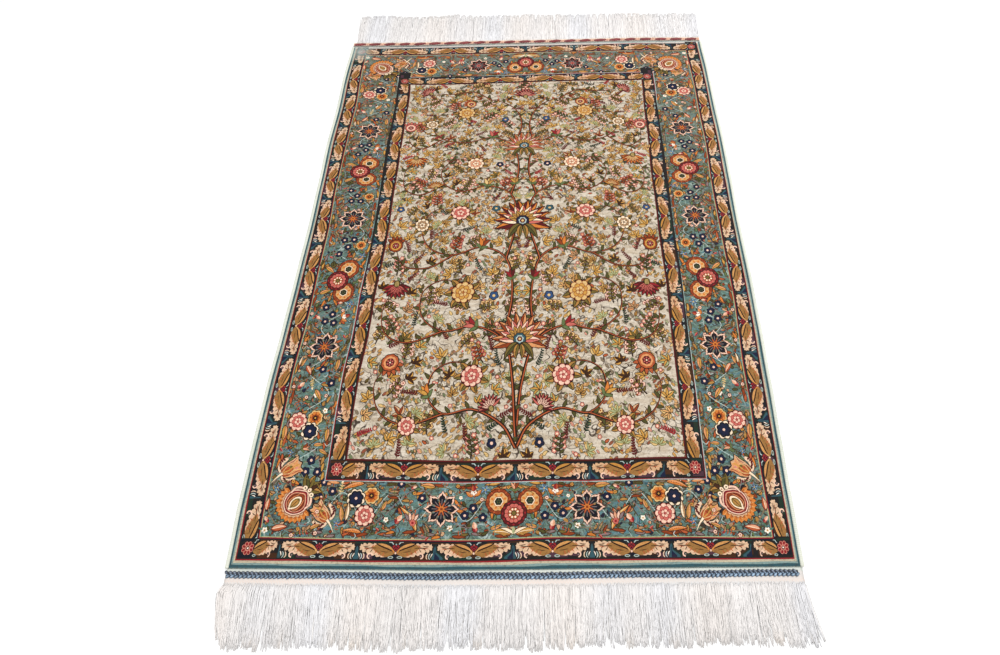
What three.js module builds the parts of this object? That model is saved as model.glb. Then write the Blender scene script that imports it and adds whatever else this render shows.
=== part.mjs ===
// A fringed, hand-knotted silk rug lying flat on a floor, in millimetres.
//
// +X runs across the rug and +Y along it, from the near end with the blue braid to the far end.
// The origin is on the floor, under the middle of the whole rug with its fringes.
// The rug is first laid out flat, by its distance across and along from the middle of the pile.
// The function laid() then gives each point the small wander and lift that the real rug has.
import * as THREE from 'three';

// Driving sizes
const pileWidth = 1000; // knotted pile, from side to side
const pileLength = 1420; // knotted pile, from end to end
const pileThickness = 4; // foundation and clipped silk together
const seam = 0.3; // gap between two pieces that are sewn or butted together

const bindingWidth = 7; // overcast cord down each side
const bindingThickness = 4.8;

const webThickness = 1.5; // flat weave between the pile and the fringe
const webHalfWidth = 503; // half of the web's and the braids' length across the rug
const locksPerEnd = 100;

// Each end's flat web, its fringe and the stitched braid that lies on the web
const nearEnd = {
  outwards: -1,
  webDepth: 33,
  shortestLock: 66,
  longestLock: 90,
  combing: 1,
  braid: { from: 4.5, depth: 12.5, height: 2.9, valley: 1.5, stitches: 132 },
};
const farEnd = {
  outwards: 1,
  webDepth: 23,
  shortestLock: 97,
  longestLock: 122,
  combing: -0.8,
  braid: { from: 4, depth: 17, height: 3, valley: 1.8, dashes: 23 },
};

// How far each side strays from a straight line, and how far its edge rises off the floor.
// along is the distance from the middle of the pile. A stray towards +X is positive.
const sideRows = [
  { along: -710, left: 1, leftLift: 0, right: -1, rightLift: 0 },
  { along: -590, left: -3, leftLift: 0, right: 1, rightLift: 0.4 },
  { along: -480, left: -3.5, leftLift: 1.2, right: 3.5, rightLift: 1 },
  { along: -360, left: -4, leftLift: 0.6, right: 7, rightLift: 0.2 },
  { along: -240, left: -0.5, leftLift: 1.8, right: 8.5, rightLift: 3 },
  { along: -100, left: 0, leftLift: 0.4, right: 11, rightLift: 0.6 },
  { along: 40, left: 3, leftLift: 3.2, right: 9, rightLift: 2.2 },
  { along: 180, left: 0, leftLift: 0.5, right: 12, rightLift: 0.3 },
  { along: 310, left: -3, leftLift: 0.2, right: 13, rightLift: 0.8 },
  { along: 450, left: 1, leftLift: 2.4, right: 11, rightLift: 0.2 },
  { along: 580, left: -2.5, leftLift: 0.3, right: 10.5, rightLift: 1.4 },
  { along: 710, left: 1, leftLift: 0, right: 7.5, rightLift: 0 },
];
const liftReach = 120; // a lifted side is flat again this far in

// How far the two ends stray along the rug, in straight stretches. Towards +Y is positive.
const endRows = [
  { across: -500, near: 1, far: 2 },
  { across: -330, near: -1, far: 0.5 },
  { across: -120, near: -4, far: 3 },
  { across: 110, near: -2.5, far: 4 },
  { across: 320, near: -1.2, far: 7 },
  { across: 500, near: -0.5, far: 3 },
];
const endReach = 300; // the stray of an end has died out this far in

const liftColumns = [500, 474, 440, 396]; // stations in from each side, where the lifts bend
const carpetRows = 38; // stations along the pile and the side bindings

// A binding's section: in and up as shares of its width and thickness, from the pile outwards
const bindingSection = [
  { outwards: 0, up: 0 },
  { outwards: 0.85, up: 0 },
  { outwards: 1, up: 0.5 },
  { outwards: 0.75, up: 0.92 },
  { outwards: 0.35, up: 1 },
  { outwards: 0, up: 0.75 },
];

// A lock of fringe from its root to just short of its tip. reach is a share of its length,
// and stray is the share of the sideways combing that it has taken by then.
const lockSections = [
  { reach: 0, width: 8.2, height: webThickness, stray: 0 },
  { reach: 0.42, width: 7.2, height: 3.6, stray: 0.3 },
  { reach: 0.86, width: 4, height: 2.8, stray: 0.9 },
];

// Silk and cotton colours, taken by eye
const finishes = {
  pile: { color: 0x93846b, roughness: 0.62 },
  binding: { color: 0xc9c8b4, roughness: 0.7 },
  fringe: { color: 0xe9e7e4, roughness: 0.75 },
  blueBraid: { color: 0x47678c, roughness: 0.7 },
  redBraid: { color: 0xb06a5c, roughness: 0.7 },
};

const ease = (share) => share * share * (3 - 2 * share);
const straight = (share) => share;

// A value from a table's column, blended from row to row and held past its ends
function fromTable(rows, key, column, at, blend) {
  const last = rows.length - 1;
  if (at <= rows[0][key]) return rows[0][column];
  if (at >= rows[last][key]) return rows[last][column];
  const next = rows.findIndex((row) => row[key] > at);
  const before = rows[next - 1];
  const after = rows[next];
  const share = blend((at - before[key]) / (after[key] - before[key]));
  return before[column] + (after[column] - before[column]) * share;
}

// The share of a side's lift that is left at a distance in from that side
function liftShare(distance) {
  return ease(THREE.MathUtils.clamp(1 - distance / liftReach, 0, 1));
}

// Where a point of the flat rug lies on the floor
function laid(across, along, height) {
  const side = (column) => fromTable(sideRows, 'along', column, along, ease);
  const end = (column) => fromTable(endRows, 'across', column, across, straight);
  const fromLeft = across / pileWidth + 0.5;
  const stray = THREE.MathUtils.lerp(side('left'), side('right'), fromLeft);
  const toEnd = (Math.abs(along) - pileLength / 2 + endReach) / endReach;
  const endShare = ease(THREE.MathUtils.clamp(toEnd, 0, 1));
  const endStray = endShare * end(along < 0 ? 'near' : 'far');
  const half = pileWidth / 2;
  const leftLift = side('leftLift') * liftShare(across + half);
  const rightLift = side('rightLift') * liftShare(half - across);
  return new THREE.Vector3(across + stray, along + endStray, height + leftLift + rightLift);
}

// A repeatable number from 0 to 1 for each count, so that no two locks are alike
function variation(count, series) {
  const mixed = Math.sin(count * 12.9898 + series * 78.233) * 43758.5453;
  return mixed - Math.floor(mixed);
}

// Collects points and outward faces. A mirrored solid has its faces turned round.
class Solid {
  constructor(mirrored = false) {
    this.positions = [];
    this.indices = [];
    this.mirrored = mirrored;
  }

  point(place) {
    this.positions.push(place.x, place.y, place.z);
    return this.positions.length / 3 - 1;
  }

  face(a, b, c) {
    if (this.mirrored) this.indices.push(a, c, b);
    else this.indices.push(a, b, c);
  }

  quad(a, b, c, d) {
    this.face(a, b, c);
    this.face(a, c, d);
  }

  mesh(name, finish) {
    const geometry = new THREE.BufferGeometry();
    geometry.setAttribute('position', new THREE.Float32BufferAttribute(this.positions, 3));
    geometry.setIndex(this.indices);
    geometry.computeVertexNormals();
    const material = new THREE.MeshStandardMaterial({ ...finish, metalness: 0 });
    const mesh = new THREE.Mesh(geometry, material);
    mesh.name = name;
    return mesh;
  }
}

// Evenly spaced values from the first to the last
function spaced(first, last, count) {
  return Array.from({ length: count }, (_, i) => first + ((last - first) * i) / (count - 1));
}

// The knotted pile: a thin slab whose upper and lower faces follow the floor and the lifts
function makeCarpet() {
  const solid = new Solid();
  const innerRows = endRows.slice(1, -1);
  const acrossAt = [
    ...liftColumns.map((across) => -across),
    ...innerRows.map((row) => row.across),
    ...liftColumns.toReversed(),
  ];
  const alongAt = spaced(-pileLength / 2, pileLength / 2, carpetRows);
  const layer = (height) =>
    alongAt.map((along) => acrossAt.map((across) => solid.point(laid(across, along, height))));
  const under = layer(0);
  const top = layer(pileThickness);
  const lastColumn = acrossAt.length - 1;
  const lastRow = alongAt.length - 1;
  for (let row = 0; row < lastRow; row++) {
    for (let column = 0; column < lastColumn; column++) {
      const next = column + 1;
      solid.quad(top[row][column], top[row][next], top[row + 1][next], top[row + 1][column]);
      solid.quad(under[row][column], under[row + 1][column], under[row + 1][next], under[row][next]);
    }
    solid.quad(under[row][lastColumn], under[row + 1][lastColumn], top[row + 1][lastColumn],
      top[row][lastColumn]);
    solid.quad(under[row + 1][0], under[row][0], top[row][0], top[row + 1][0]);
  }
  for (let column = 0; column < lastColumn; column++) {
    const next = column + 1;
    solid.quad(under[0][column], under[0][next], top[0][next], top[0][column]);
    solid.quad(under[lastRow][next], under[lastRow][column], top[lastRow][column],
      top[lastRow][next]);
  }
  return solid.mesh('carpet', finishes.pile);
}

// A long bar: rings of points from one end to the other, joined and closed with flat caps.
// Each ring runs anticlockwise, seen from the end that the rings start at.
function bar(name, rings, finish, mirrored) {
  const solid = new Solid(mirrored);
  const loops = rings.map((ring) => ring.map((place) => solid.point(place)));
  const count = loops[0].length;
  for (let step = 0; step + 1 < loops.length; step++) {
    for (let i = 0; i < count; i++) {
      const next = (i + 1) % count;
      solid.quad(loops[step][i], loops[step][next], loops[step + 1][next], loops[step + 1][i]);
    }
  }
  const first = loops[0];
  const last = loops[loops.length - 1];
  for (let i = 1; i + 1 < count; i++) {
    solid.face(first[0], first[i + 1], first[i]);
    solid.face(last[0], last[i], last[i + 1]);
  }
  return solid.mesh(name, finish);
}

// The overcast cord down one side. side is -1 on the left and 1 on the right.
function makeBinding(name, side) {
  const edge = pileWidth / 2 + seam;
  const rings = spaced(-pileLength / 2, pileLength / 2, carpetRows).map((along) =>
    bindingSection.map(({ outwards, up }) => {
      const foot = laid((side * pileWidth) / 2, along, up * bindingThickness);
      foot.x += side * (edge - pileWidth / 2 + outwards * bindingWidth);
      return foot;
    }));
  return bar(name, rings, finishes.binding, side > 0);
}

// A place on one end of the rug: across it, and outwards from the end of the pile
function beyond(end, across, outwards, height) {
  return laid(across, end.outwards * (pileLength / 2 + outwards), height);
}

// A stitched braid on the web. Each ring has a foot on both sides, two ridges and the valley
// between them. ridges gives the height of the inner and the outer ridge at each ring.
function makeBraid(name, end, finish, ridges) {
  const { from, depth, valley } = end.braid;
  const foot = webThickness + seam;
  const rings = ridges.map(({ across, inner, outer }) => [
    beyond(end, across, from, foot),
    beyond(end, across, from + depth, foot),
    beyond(end, across, from + depth * 0.8, foot + outer),
    beyond(end, across, from + depth * 0.5, foot + valley),
    beyond(end, across, from + depth * 0.2, foot + inner),
  ]);
  return bar(name, rings, finish, end.outwards < 0);
}

// Two rows of slanting stitches, half a stitch out of step with each other
function chainRidges({ height, valley, stitches }) {
  return spaced(-webHalfWidth, webHalfWidth, 2 * stitches + 1).map((across, i) => ({
    across,
    inner: i % 2 ? height : valley + 0.2,
    outer: i % 2 ? valley + 0.2 : height,
  }));
}

// Wrapped dashes with a lower stretch between each two
function dashRidges({ height, valley, dashes }) {
  const profile = [
    { share: 0.02, rise: 0.1 },
    { share: 0.12, rise: 1 },
    { share: 0.6, rise: 1 },
    { share: 0.7, rise: 0.1 },
  ];
  const pitch = (2 * webHalfWidth) / dashes;
  const ridges = [];
  for (let dash = 0; dash < dashes; dash++) {
    for (const { share, rise } of profile) {
      const across = -webHalfWidth + (dash + share) * pitch;
      const ridge = valley + (height - valley) * rise;
      ridges.push({ across, inner: ridge, outer: ridge });
    }
  }
  return ridges;
}

// One end's flat web with its fringe. The web's outer wall is shared with the roots of the
// three-sided locks: each has a flat foot on the floor and a ridge that starts at the web's top.
function makeFringe(name, end) {
  const solid = new Solid(end.outwards > 0);
  const pitch = (2 * webHalfWidth) / locksPerEnd;
  const place = (across, outwards, height) => solid.point(beyond(end, across, outwards, height));
  const station = (across) => ({
    backFoot: place(across, seam, 0),
    backTop: place(across, seam, webThickness),
  });

  const left = station(-webHalfWidth);
  left.footEnd = place(-webHalfWidth, end.webDepth, 0);
  left.ridge = place(-webHalfWidth, end.webDepth, webThickness);
  let before = left;
  for (let lock = 0; lock < locksPerEnd; lock++) {
    const middle = -webHalfWidth + (lock + 0.5) * pitch;
    const wave = 5 * Math.sin(middle / 31) + 3.4 * Math.sin(middle / 13.5 + 1);
    const combed = end.combing * wave + 1.2 * (variation(lock, end.outwards) - 0.5);
    const grown = variation(lock, end.outwards + 5);
    const length = THREE.MathUtils.lerp(end.shortestLock, end.longestLock, grown);
    const sections = lockSections.map(({ reach, width, height, stray }) => {
      const centre = middle + combed * stray;
      const outwards = end.webDepth + reach * length;
      return {
        footStart: place(centre - width / 2, outwards, 0),
        footEnd: place(centre + width / 2, outwards, 0),
        ridge: place(centre, outwards, height),
      };
    });
    const tip = place(middle + combed, end.webDepth + length, 0);
    const here = { ...station(middle), ...sections[0] };
    joinStations(solid, before, here);
    solid.face(here.footStart, here.backFoot, here.footEnd);
    for (let i = 0; i + 1 < sections.length; i++) lockWalls(solid, sections[i], sections[i + 1]);
    lockTip(solid, sections[sections.length - 1], tip);
    before = here;
  }
  const right = station(webHalfWidth);
  right.footStart = place(webHalfWidth, end.webDepth, 0);
  right.ridge = place(webHalfWidth, end.webDepth, webThickness);
  joinStations(solid, before, right);
  solid.quad(left.backFoot, left.footEnd, left.ridge, left.backTop);
  solid.quad(right.footStart, right.backFoot, right.backTop, right.ridge);
  return solid.mesh(name, finishes.fringe);
}

// The web between two locks: its top, its foot, its back wall and the outer wall between roots
function joinStations(solid, a, b) {
  solid.quad(a.ridge, b.ridge, b.backTop, a.backTop);
  solid.quad(a.footEnd, a.backFoot, b.backFoot, b.footStart);
  solid.quad(a.backFoot, a.backTop, b.backTop, b.backFoot);
  solid.quad(a.footEnd, b.footStart, b.ridge, a.ridge);
}

// The foot and the two slopes of a lock, from one section to the next one out
function lockWalls(solid, a, b) {
  solid.quad(b.footEnd, a.footEnd, a.ridge, b.ridge);
  solid.quad(a.footStart, b.footStart, b.ridge, a.ridge);
  solid.quad(a.footStart, a.footEnd, b.footEnd, b.footStart);
}

function lockTip(solid, a, tip) {
  solid.face(a.footEnd, a.ridge, tip);
  solid.face(a.ridge, a.footStart, tip);
  solid.face(a.footStart, a.footEnd, tip);
}

const rug = new THREE.Group();
rug.name = 'fringed_silk_rug';
rug.add(makeCarpet());
rug.add(makeBinding('selvedge_left', -1));
rug.add(makeBinding('selvedge_right', 1));
rug.add(makeFringe('fringe_near', nearEnd));
rug.add(makeFringe('fringe_far', farEnd));
rug.add(makeBraid('braid_near', nearEnd, finishes.blueBraid, chainRidges(nearEnd.braid)));
rug.add(makeBraid('braid_far', farEnd, finishes.redBraid, dashRidges(farEnd.braid)));

// The middle of the whole outline goes over the origin
const outline = new THREE.Box3().setFromObject(rug);
const middle = outline.getCenter(new THREE.Vector3());
rug.position.set(-middle.x, -middle.y, -outline.min.z);
rug.updateMatrixWorld(true);

export default rug;
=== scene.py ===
# A fringed, hand-knotted silk rug lying flat: knotted pile with floral borders, overcast sides,
# a flat web with a stitched braid at each end, and loose silk fringe.
import math

import bpy
import numpy as np
from mathutils import Matrix, Vector
from mathutils.bvhtree import BVHTree
from mathutils.geometry import delaunay_2d_cdt


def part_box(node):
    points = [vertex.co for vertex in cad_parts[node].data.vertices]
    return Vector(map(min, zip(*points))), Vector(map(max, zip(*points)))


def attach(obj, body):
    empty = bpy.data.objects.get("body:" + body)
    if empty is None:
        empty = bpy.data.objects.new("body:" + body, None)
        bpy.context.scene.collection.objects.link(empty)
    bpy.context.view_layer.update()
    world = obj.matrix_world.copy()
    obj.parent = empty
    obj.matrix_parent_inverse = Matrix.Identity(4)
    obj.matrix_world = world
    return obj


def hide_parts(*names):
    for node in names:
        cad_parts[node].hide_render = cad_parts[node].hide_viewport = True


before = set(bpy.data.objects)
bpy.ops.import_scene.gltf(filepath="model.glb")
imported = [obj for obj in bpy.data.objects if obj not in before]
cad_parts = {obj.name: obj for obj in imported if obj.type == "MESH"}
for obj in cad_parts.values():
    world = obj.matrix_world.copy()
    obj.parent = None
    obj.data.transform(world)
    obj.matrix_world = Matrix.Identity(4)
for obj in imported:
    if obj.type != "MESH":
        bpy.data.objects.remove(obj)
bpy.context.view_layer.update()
mm = 0.001  # lengths are in millimetres until they are laid in the frame
shown = {}  # every finished piece by name


# The rug's own plan, in millimetres: the same driving sizes as the CAD source

rug = {
    "width": 1000,  # knotted pile, from side to side
    "length": 1420,  # knotted pile, from end to end
    "thickness": 4,
    "seam": 0.3,
    "liftReach": 120,  # a lifted side is flat again this far in
    "endReach": 300,  # the stray of an end has died out this far in
    "rows": 38,  # the CAD's stations along the pile
}
rugWidth, rugLength = rug["width"], rug["length"]

# along, left stray, left lift, right stray, right lift
sideRows = np.array([
    (-710, 1, 0, -1, 0), (-590, -3, 0, 1, 0.4), (-480, -3.5, 1.2, 3.5, 1), (-360, -4, 0.6, 7, 0.2),
    (-240, -0.5, 1.8, 8.5, 3), (-100, 0, 0.4, 11, 0.6), (40, 3, 3.2, 9, 2.2), (180, 0, 0.5, 12, 0.3),
    (310, -3, 0.2, 13, 0.8), (450, 1, 2.4, 11, 0.2), (580, -2.5, 0.3, 10.5, 1.4), (710, 1, 0, 7.5, 0),
])
# across, near stray, far stray
endRows = np.array([
    (-500, 1, 2), (-330, -1, 0.5), (-120, -4, 3), (110, -2.5, 4), (320, -1.2, 7), (500, -0.5, 3),
])


def ease(share):
    # slow, fast, slow: three squares less two cubes
    return share * share * (3 - 2 * share)


def eased(column, at):
    # a side row's value, eased from row to row and held past the ends
    key = sideRows[:, 0]
    row = np.clip(np.searchsorted(key, at, side="right") - 1, 0, len(key) - 2)
    share = np.clip((at - key[row]) / (key[row + 1] - key[row]), 0, 1)
    value = sideRows[:, column]
    return value[row] + (value[row + 1] - value[row]) * ease(share)


def straying(across, along, height):
    # a point of the flat rug, with the sides' and ends' stray and the sides' lift, in millimetres
    across, along, height = np.broadcast_arrays(across, along, height)
    fromLeft = across / rugWidth + 0.5
    sideways = eased(1, along) * (1 - fromLeft) + eased(3, along) * fromLeft
    toEnd = (np.abs(along) - rugLength / 2 + rug["endReach"]) / rug["endReach"]
    near = np.interp(across, endRows[:, 0], endRows[:, 1])
    far = np.interp(across, endRows[:, 0], endRows[:, 2])
    lengthways = ease(np.clip(toEnd, 0, 1)) * np.where(along < 0, near, far)
    leftShare = ease(np.clip(1 - (across + rugWidth / 2) / rug["liftReach"], 0, 1))
    rightShare = ease(np.clip(1 - (rugWidth / 2 - across) / rug["liftReach"], 0, 1))
    lift = eased(2, along) * leftShare + eased(4, along) * rightShare
    return np.stack([across + sideways, along + lengthways, height + lift], -1)


def pileMiddle():
    # where the middle of the pile lies in the frame: the CAD carpet's box against the plan's
    along = np.linspace(-rugLength / 2, rugLength / 2, rug["rows"])
    across = np.concatenate([[-rugWidth / 2, rugWidth / 2], endRows[1:-1, 0]])
    plan = straying(*np.meshgrid(across, along), 0).reshape(-1, 3)
    low, high = (np.array(corner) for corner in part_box("carpet"))
    middle = (low + high) / 2 - (plan.min(0) + plan.max(0)) / 2 * mm
    middle[2] = low[2]
    return middle


middle = pileMiddle()


def laid(across, along, height):
    # where a point of the flat rug lies, in metres of the frame
    return straying(across, along, height) * mm + middle


print("rug plan ready, pile middle at", np.round(middle, 4))


# Drawing: each part of the pattern is a closed ring of points in millimetres, and a dye

dyes = {
    "sand": (185, 171, 151),
    "sandLight": (206, 195, 178),
    "sandDark": (178, 162, 140),
    "cream": (236, 212, 180),
    "eggshell": (182, 172, 146),
    "milk": (238, 224, 206),
    "blush": (228, 188, 164),
    "rose": (188, 98, 86),
    "pink": (206, 136, 116),
    "crimson": (136, 32, 38),
    "wine": (84, 22, 24),
    "rust": (134, 58, 26),
    "brick": (168, 82, 46),
    "orange": (198, 116, 50),
    "apricot": (208, 142, 92),
    "salmon": (212, 152, 118),
    "gold": (190, 140, 66),
    "amber": (192, 138, 80),
    "saffron": (180, 126, 58),
    "brass": (146, 104, 56),
    "wing": (208, 174, 142),
    "shell": (192, 184, 176),
    "honey": (204, 154, 98),
    "fawn": (200, 158, 120),
    "biscuit": (222, 190, 160),
    "straw": (208, 174, 116),
    "ochre": (168, 122, 62),
    "tan": (168, 130, 92),
    "taupe": (122, 106, 84),
    "olive": (106, 90, 42),
    "moss": (72, 70, 34),
    "umber": (62, 36, 20),
    "soil": (38, 22, 14),
    "leafGreen": (92, 108, 68),
    "paleGreen": (160, 164, 120),
    "sea": (66, 110, 96),
    "teal": (86, 114, 106),
    "tealLight": (106, 132, 122),
    "tealBlue": (84, 120, 130),
    "tealGreen": (90, 112, 90),
    "slate": (74, 80, 74),
    "sage": (128, 128, 96),
    "mist": (168, 182, 176),
    "mauve": (126, 108, 106),
    "plum": (72, 46, 56),
    "deepTeal": (48, 80, 88),
    "greyTeal": (122, 144, 140),
    "ink": (18, 22, 32),
    "navy": (22, 30, 54),
    "blue": (46, 72, 110),
    "sky": (124, 150, 174),
    "night": (29, 28, 28),
    "pine": (26, 46, 36),
    "kinkShadow": (150, 144, 138),
}
ground = ("teal", "tealLight", "tealBlue", "tealGreen", "slate")  # the border's open ground
dyeIndex = {name: index for index, name in enumerate(dyes)}


def linear(colour):
    # a colour as seen on a screen, 0 to 255, turned to the renderer's scale
    share = np.asarray(colour, float) / 255
    return np.where(share <= 0.04045, share / 12.92, ((share + 0.055) / 1.055) ** 2.4)


def smooth(points, count):
    # a curve through the points, in cubics whose slope at a point is half its neighbours' step
    given = np.asarray(points, float)
    given = np.vstack([2 * given[0] - given[1], given, 2 * given[-1] - given[-2]])
    place = np.linspace(0, len(given) - 3, count)
    first = np.minimum(place.astype(int), len(given) - 4)
    t = (place - first)[:, None]
    a, b, c, d = (given[first + step] for step in range(4))
    return 0.5 * (2 * b + (c - a) * t + (2 * a - 5 * b + 4 * c - d) * t**2 + (3 * b - a - 3 * c + d) * t**3)


def around(path, halfWidth, shift=0.0):
    # the ring round a path, up its left side and back along the right; shift moves it to the left
    heading = np.gradient(path, axis=0)
    heading /= np.maximum(np.linalg.norm(heading, axis=1, keepdims=True), 1e-9)
    left = np.stack([-heading[:, 1], heading[:, 0]], 1)
    halfWidth = np.maximum(np.broadcast_to(halfWidth, len(path)), 0.08)[:, None]
    centre = path + left * np.broadcast_to(shift, len(path))[:, None]
    return np.vstack([centre + left * halfWidth, (centre - left * halfWidth)[::-1]])


def line(points, width, dye, count=0, taper=0.35):
    # a stroke along a curve: full width in the middle and narrower by taper at both ends
    count = count or 4 * len(points)
    path = smooth(points, count)
    share = np.linspace(0, 1, count)
    return [(around(path, width / 2 * (1 - taper + taper * np.sin(math.pi * share) ** 0.5)), dye)]


def tail(points, width, dye, count=0):
    # a stroke that thins out evenly towards its far end
    count = count or 4 * len(points)
    return [(around(smooth(points, count), width / 2 * (1 - np.linspace(0, 0.9, count))), dye)]


def oval(width, height, at=(0, 0), turn=0.0, count=10):
    # an ellipse, turned in degrees
    angle = np.arange(count) / count * 2 * math.pi
    ring = np.stack([width / 2 * np.cos(angle), height / 2 * np.sin(angle)], 1)
    return rotated(ring, turn) + at


def rotated(ring, turn):
    cosine, sine = math.cos(math.radians(turn)), math.sin(math.radians(turn))
    return np.asarray(ring) @ np.array([[cosine, sine], [-sine, cosine]])


def whorl(radius, lobes, depth=0.12, turn=0.0, step=4):
    # round lobes: the radius falls by depth, as a sine's size does, at each notch
    angle = np.arange(lobes * step) / (lobes * step) * 2 * math.pi
    reach = radius * (1 - depth + depth * np.abs(np.sin(angle * lobes / 2)))
    return rotated(np.stack([reach * np.sin(angle), reach * np.cos(angle)], 1), turn)


def pointed(radius, points, notch, turn=0.0):
    # pointed petals: the radius falls fast from the tip, rests at a shoulder and falls to the notch
    share = np.array([-0.8, -0.5, -0.2, 0, 0.2, 0.5, 0.8, 1])
    fall = np.array([0.8, 0.5, 0.38, 0, 0.38, 0.5, 0.8, 1])
    reach = np.tile(radius * (1 - (1 - notch) * fall), points)
    angle = (np.arange(points)[:, None] * 2 + share).ravel() * math.pi / points
    return rotated(np.stack([reach * np.sin(angle), reach * np.cos(angle)], 1), turn)


def leafHalf(width, count, fullest=0.42):
    # half of a leaf's width along it: a sine that peaks at the fullest share of the length
    share = np.linspace(0, 1, count) ** (math.log(0.5) / math.log(fullest))
    return width / 2 * np.sin(math.pi * share) ** 0.85


def bow(length, bend, count):
    # a path up the page whose tip leans to the right by bend, as a share of its length
    share = np.linspace(0, 1, count)
    return np.stack([bend * length * share**2, length * share], 1)


def moved(parts, at=(0, 0), turn=0.0, size=1.0, flip=False):
    # parts scaled, turned anticlockwise in degrees and moved; flip mirrors them first
    mirror = np.array([-1.0 if flip else 1.0, 1.0]) * size
    return [(rotated(ring * mirror, turn) + at, dye) for ring, dye in parts]


def both(parts):
    # the parts, which stand on the right, and before them their mirror image
    return moved(parts, flip=True) + parts


def bloom(tones, turn=0.0):
    # whorls inside each other, the widest first: radius, lobes, depth and dye
    return [(whorl(radius, lobes, depth, turn), dye) for radius, lobes, depth, dye in tones]


def leaf(length, width, bend=0.0, body="gold", half=None, vein="umber", edge="soil", count=9):
    # a leaf with an outline, two tones split by its midrib, and the midrib
    path, wide = bow(length, bend, count), leafHalf(width, count)
    parts = []
    if edge:
        stretched = path + (path - path[count // 2]) * 0.08
        parts.append((around(stretched, wide + 1.15), edge))
    parts.append((around(path, wide), body))
    if half:
        parts.append((around(path, wide * 0.48, wide * 0.5), half))
    if vein:
        parts.append((around(path[: count - 1], 0.55), vein))
    return parts


def blade(length, width, bend, dye, edge, count):
    # a leaf of one tone, without a midrib
    return leaf(length, width, bend, dye, None, None, edge, count)


def fan(make, count, spread, radius=0.0, start=0.0):
    # the same parts repeated along an arc, spread evenly over so many degrees
    turns = start + (np.linspace(-spread / 2, spread / 2, count) if count > 1 else np.zeros(1))
    parts = []
    for turn in turns:
        out = rotated(np.array([[0.0, radius]]), turn)[0]
        parts += moved(make, out, turn)
    return parts


def allRound(make, count, radius=0.0, start=0.0):
    return fan(make, count, 360 - 360 / count, radius, start)


def sprig(length, pairs, bend=0.1, stem="olive", leaves="moss", tip="rose", size=6.0):
    # a stem with pairs of small leaves and a bud on its tip
    path = bow(length, bend, 8)
    parts = [(around(path, 0.55), stem)]
    small = blade(size, size * 0.42, 0.15, leaves, None, 6)
    for share in np.linspace(0.22, 0.86, pairs):
        x = bend * length * share**2
        for side in (-1, 1):
            parts += moved(small, (x, length * share), -side * 58, 1.1 - 0.4 * share, side < 0)
    parts += [(oval(size * 0.6, size * 0.8, path[-1]), tip)]
    return parts


# Border flowers, each drawn about its own middle and pointing up

def smallBloom(petal="navy", heart="blush", rim="ink"):
    return bloom([(8.8, 5, 0.2, rim), (7.4, 5, 0.26, petal), (2.5, 5, 0.1, heart)])


def starBloom(petal="ink", rays="brick", lit=("slate", "taupe"), eye=("orange", "rust")):
    parts = [(pointed(34.4, 8, 0.64), "wine"), (pointed(32.8, 8, 0.64), "blush")]
    parts += [(pointed(28.6, 8, 0.62), "soil"), (pointed(27.2, 8, 0.52), petal)]
    parts += allRound(line([(0, 8), (0, 18)], 1.5, "mauve", 5), 8, 0, 22.5)
    parts += allRound(leaf(11, 3.8, 0, *lit, None, None, 7), 8, 11)
    parts += allRound(blade(12, 3.2, 0, rays, None, 6), 8, 2)
    return parts + bloom([(6.4, 8, 0.4, eye[0]), (3, 4, 0.3, eye[1])])


def wineStar():
    return starBloom("soil", "mauve", ("wine", "crimson"), ("rose", "wine"))


def orangeRosette():
    parts = bloom([(24.8, 9, 0.07, "soil"), (23.4, 9, 0.08, "rust")])
    parts += allRound([(oval(2.8, 5), "brick")], 9, 20.4) + allRound([(oval(1.3, 4), "wine")], 9, 21, 20)
    parts += bloom([(18.6, 8, 0.08, "wine"), (17.4, 8, 0.1, "honey")])
    parts += allRound([(oval(4.4, 6), "orange")], 8, 12.4)
    parts += bloom(
        [(9.8, 6, 0.1, "rust"), (9, 6, 0.12, "cream"), (7.2, 6, 0.14, "soil"), (5.8, 5, 0.2, "pine")]
    )
    return parts + allRound([(oval(1.4, 2.6), "olive")], 5, 2.8)


def pinkRosette():
    parts = bloom([(24.8, 12, 0.06, "soil"), (23.4, 12, 0.07, "wine")])
    parts += allRound([(oval(4.2, 3.6), "crimson")], 12, 20.4, 15)
    parts += bloom([(18.6, 12, 0.07, "soil"), (17.4, 12, 0.1, "rose")])
    parts += allRound([(oval(1.3, 5.6), "crimson")], 12, 13.8, 15)
    parts += bloom([(11.4, 9, 0.08, "wine"), (10.4, 9, 0.1, "brick")])
    parts += allRound([(oval(3.6, 4.2), "cream")], 8, 7.4)
    return parts + bloom([(5.2, 5, 0.12, "soil"), (4, 5, 0.14, "olive")])


def petals(radius, count, wide, deep, tone, rim, start):
    # rimmed oval petals round a ring, each over the last
    return allRound(
        [(oval(wide + 2, deep + 2, count=8), rim), (oval(wide, deep, count=8), tone)], count, radius, start
    )


def cabbageRose(outer="blush", inner="rose", dark="crimson", radius=19):
    # three rings of petals round a folded heart
    parts = bloom([(19.8, 10, 0.1, "soil")]) + petals(13.2, 9, 10, 9.4, outer, dark, 8)
    parts += petals(8.4, 7, 8.2, 7.6, inner, dark, 33) + petals(4.4, 5, 6, 5.4, outer, dark, 60)
    parts += [(oval(5.4, 4.8), dark), (oval(2.8, 2.2, (0.5, 0.3)), inner)]
    return moved(parts, size=radius / 19)


def orangeBloom():
    parts = bloom([(16.8, 8, 0.14, "soil"), (15.4, 8, 0.16, "straw"), (12.6, 8, 0.14, "orange")])
    parts += allRound([(oval(1.7, 6), "rust")], 8, 9, 22.5)
    return parts + bloom([(7.6, 6, 0.2, "rust"), (5, 5, 0.2, "soil"), (1.7, 5, 0, "gold")])


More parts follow.
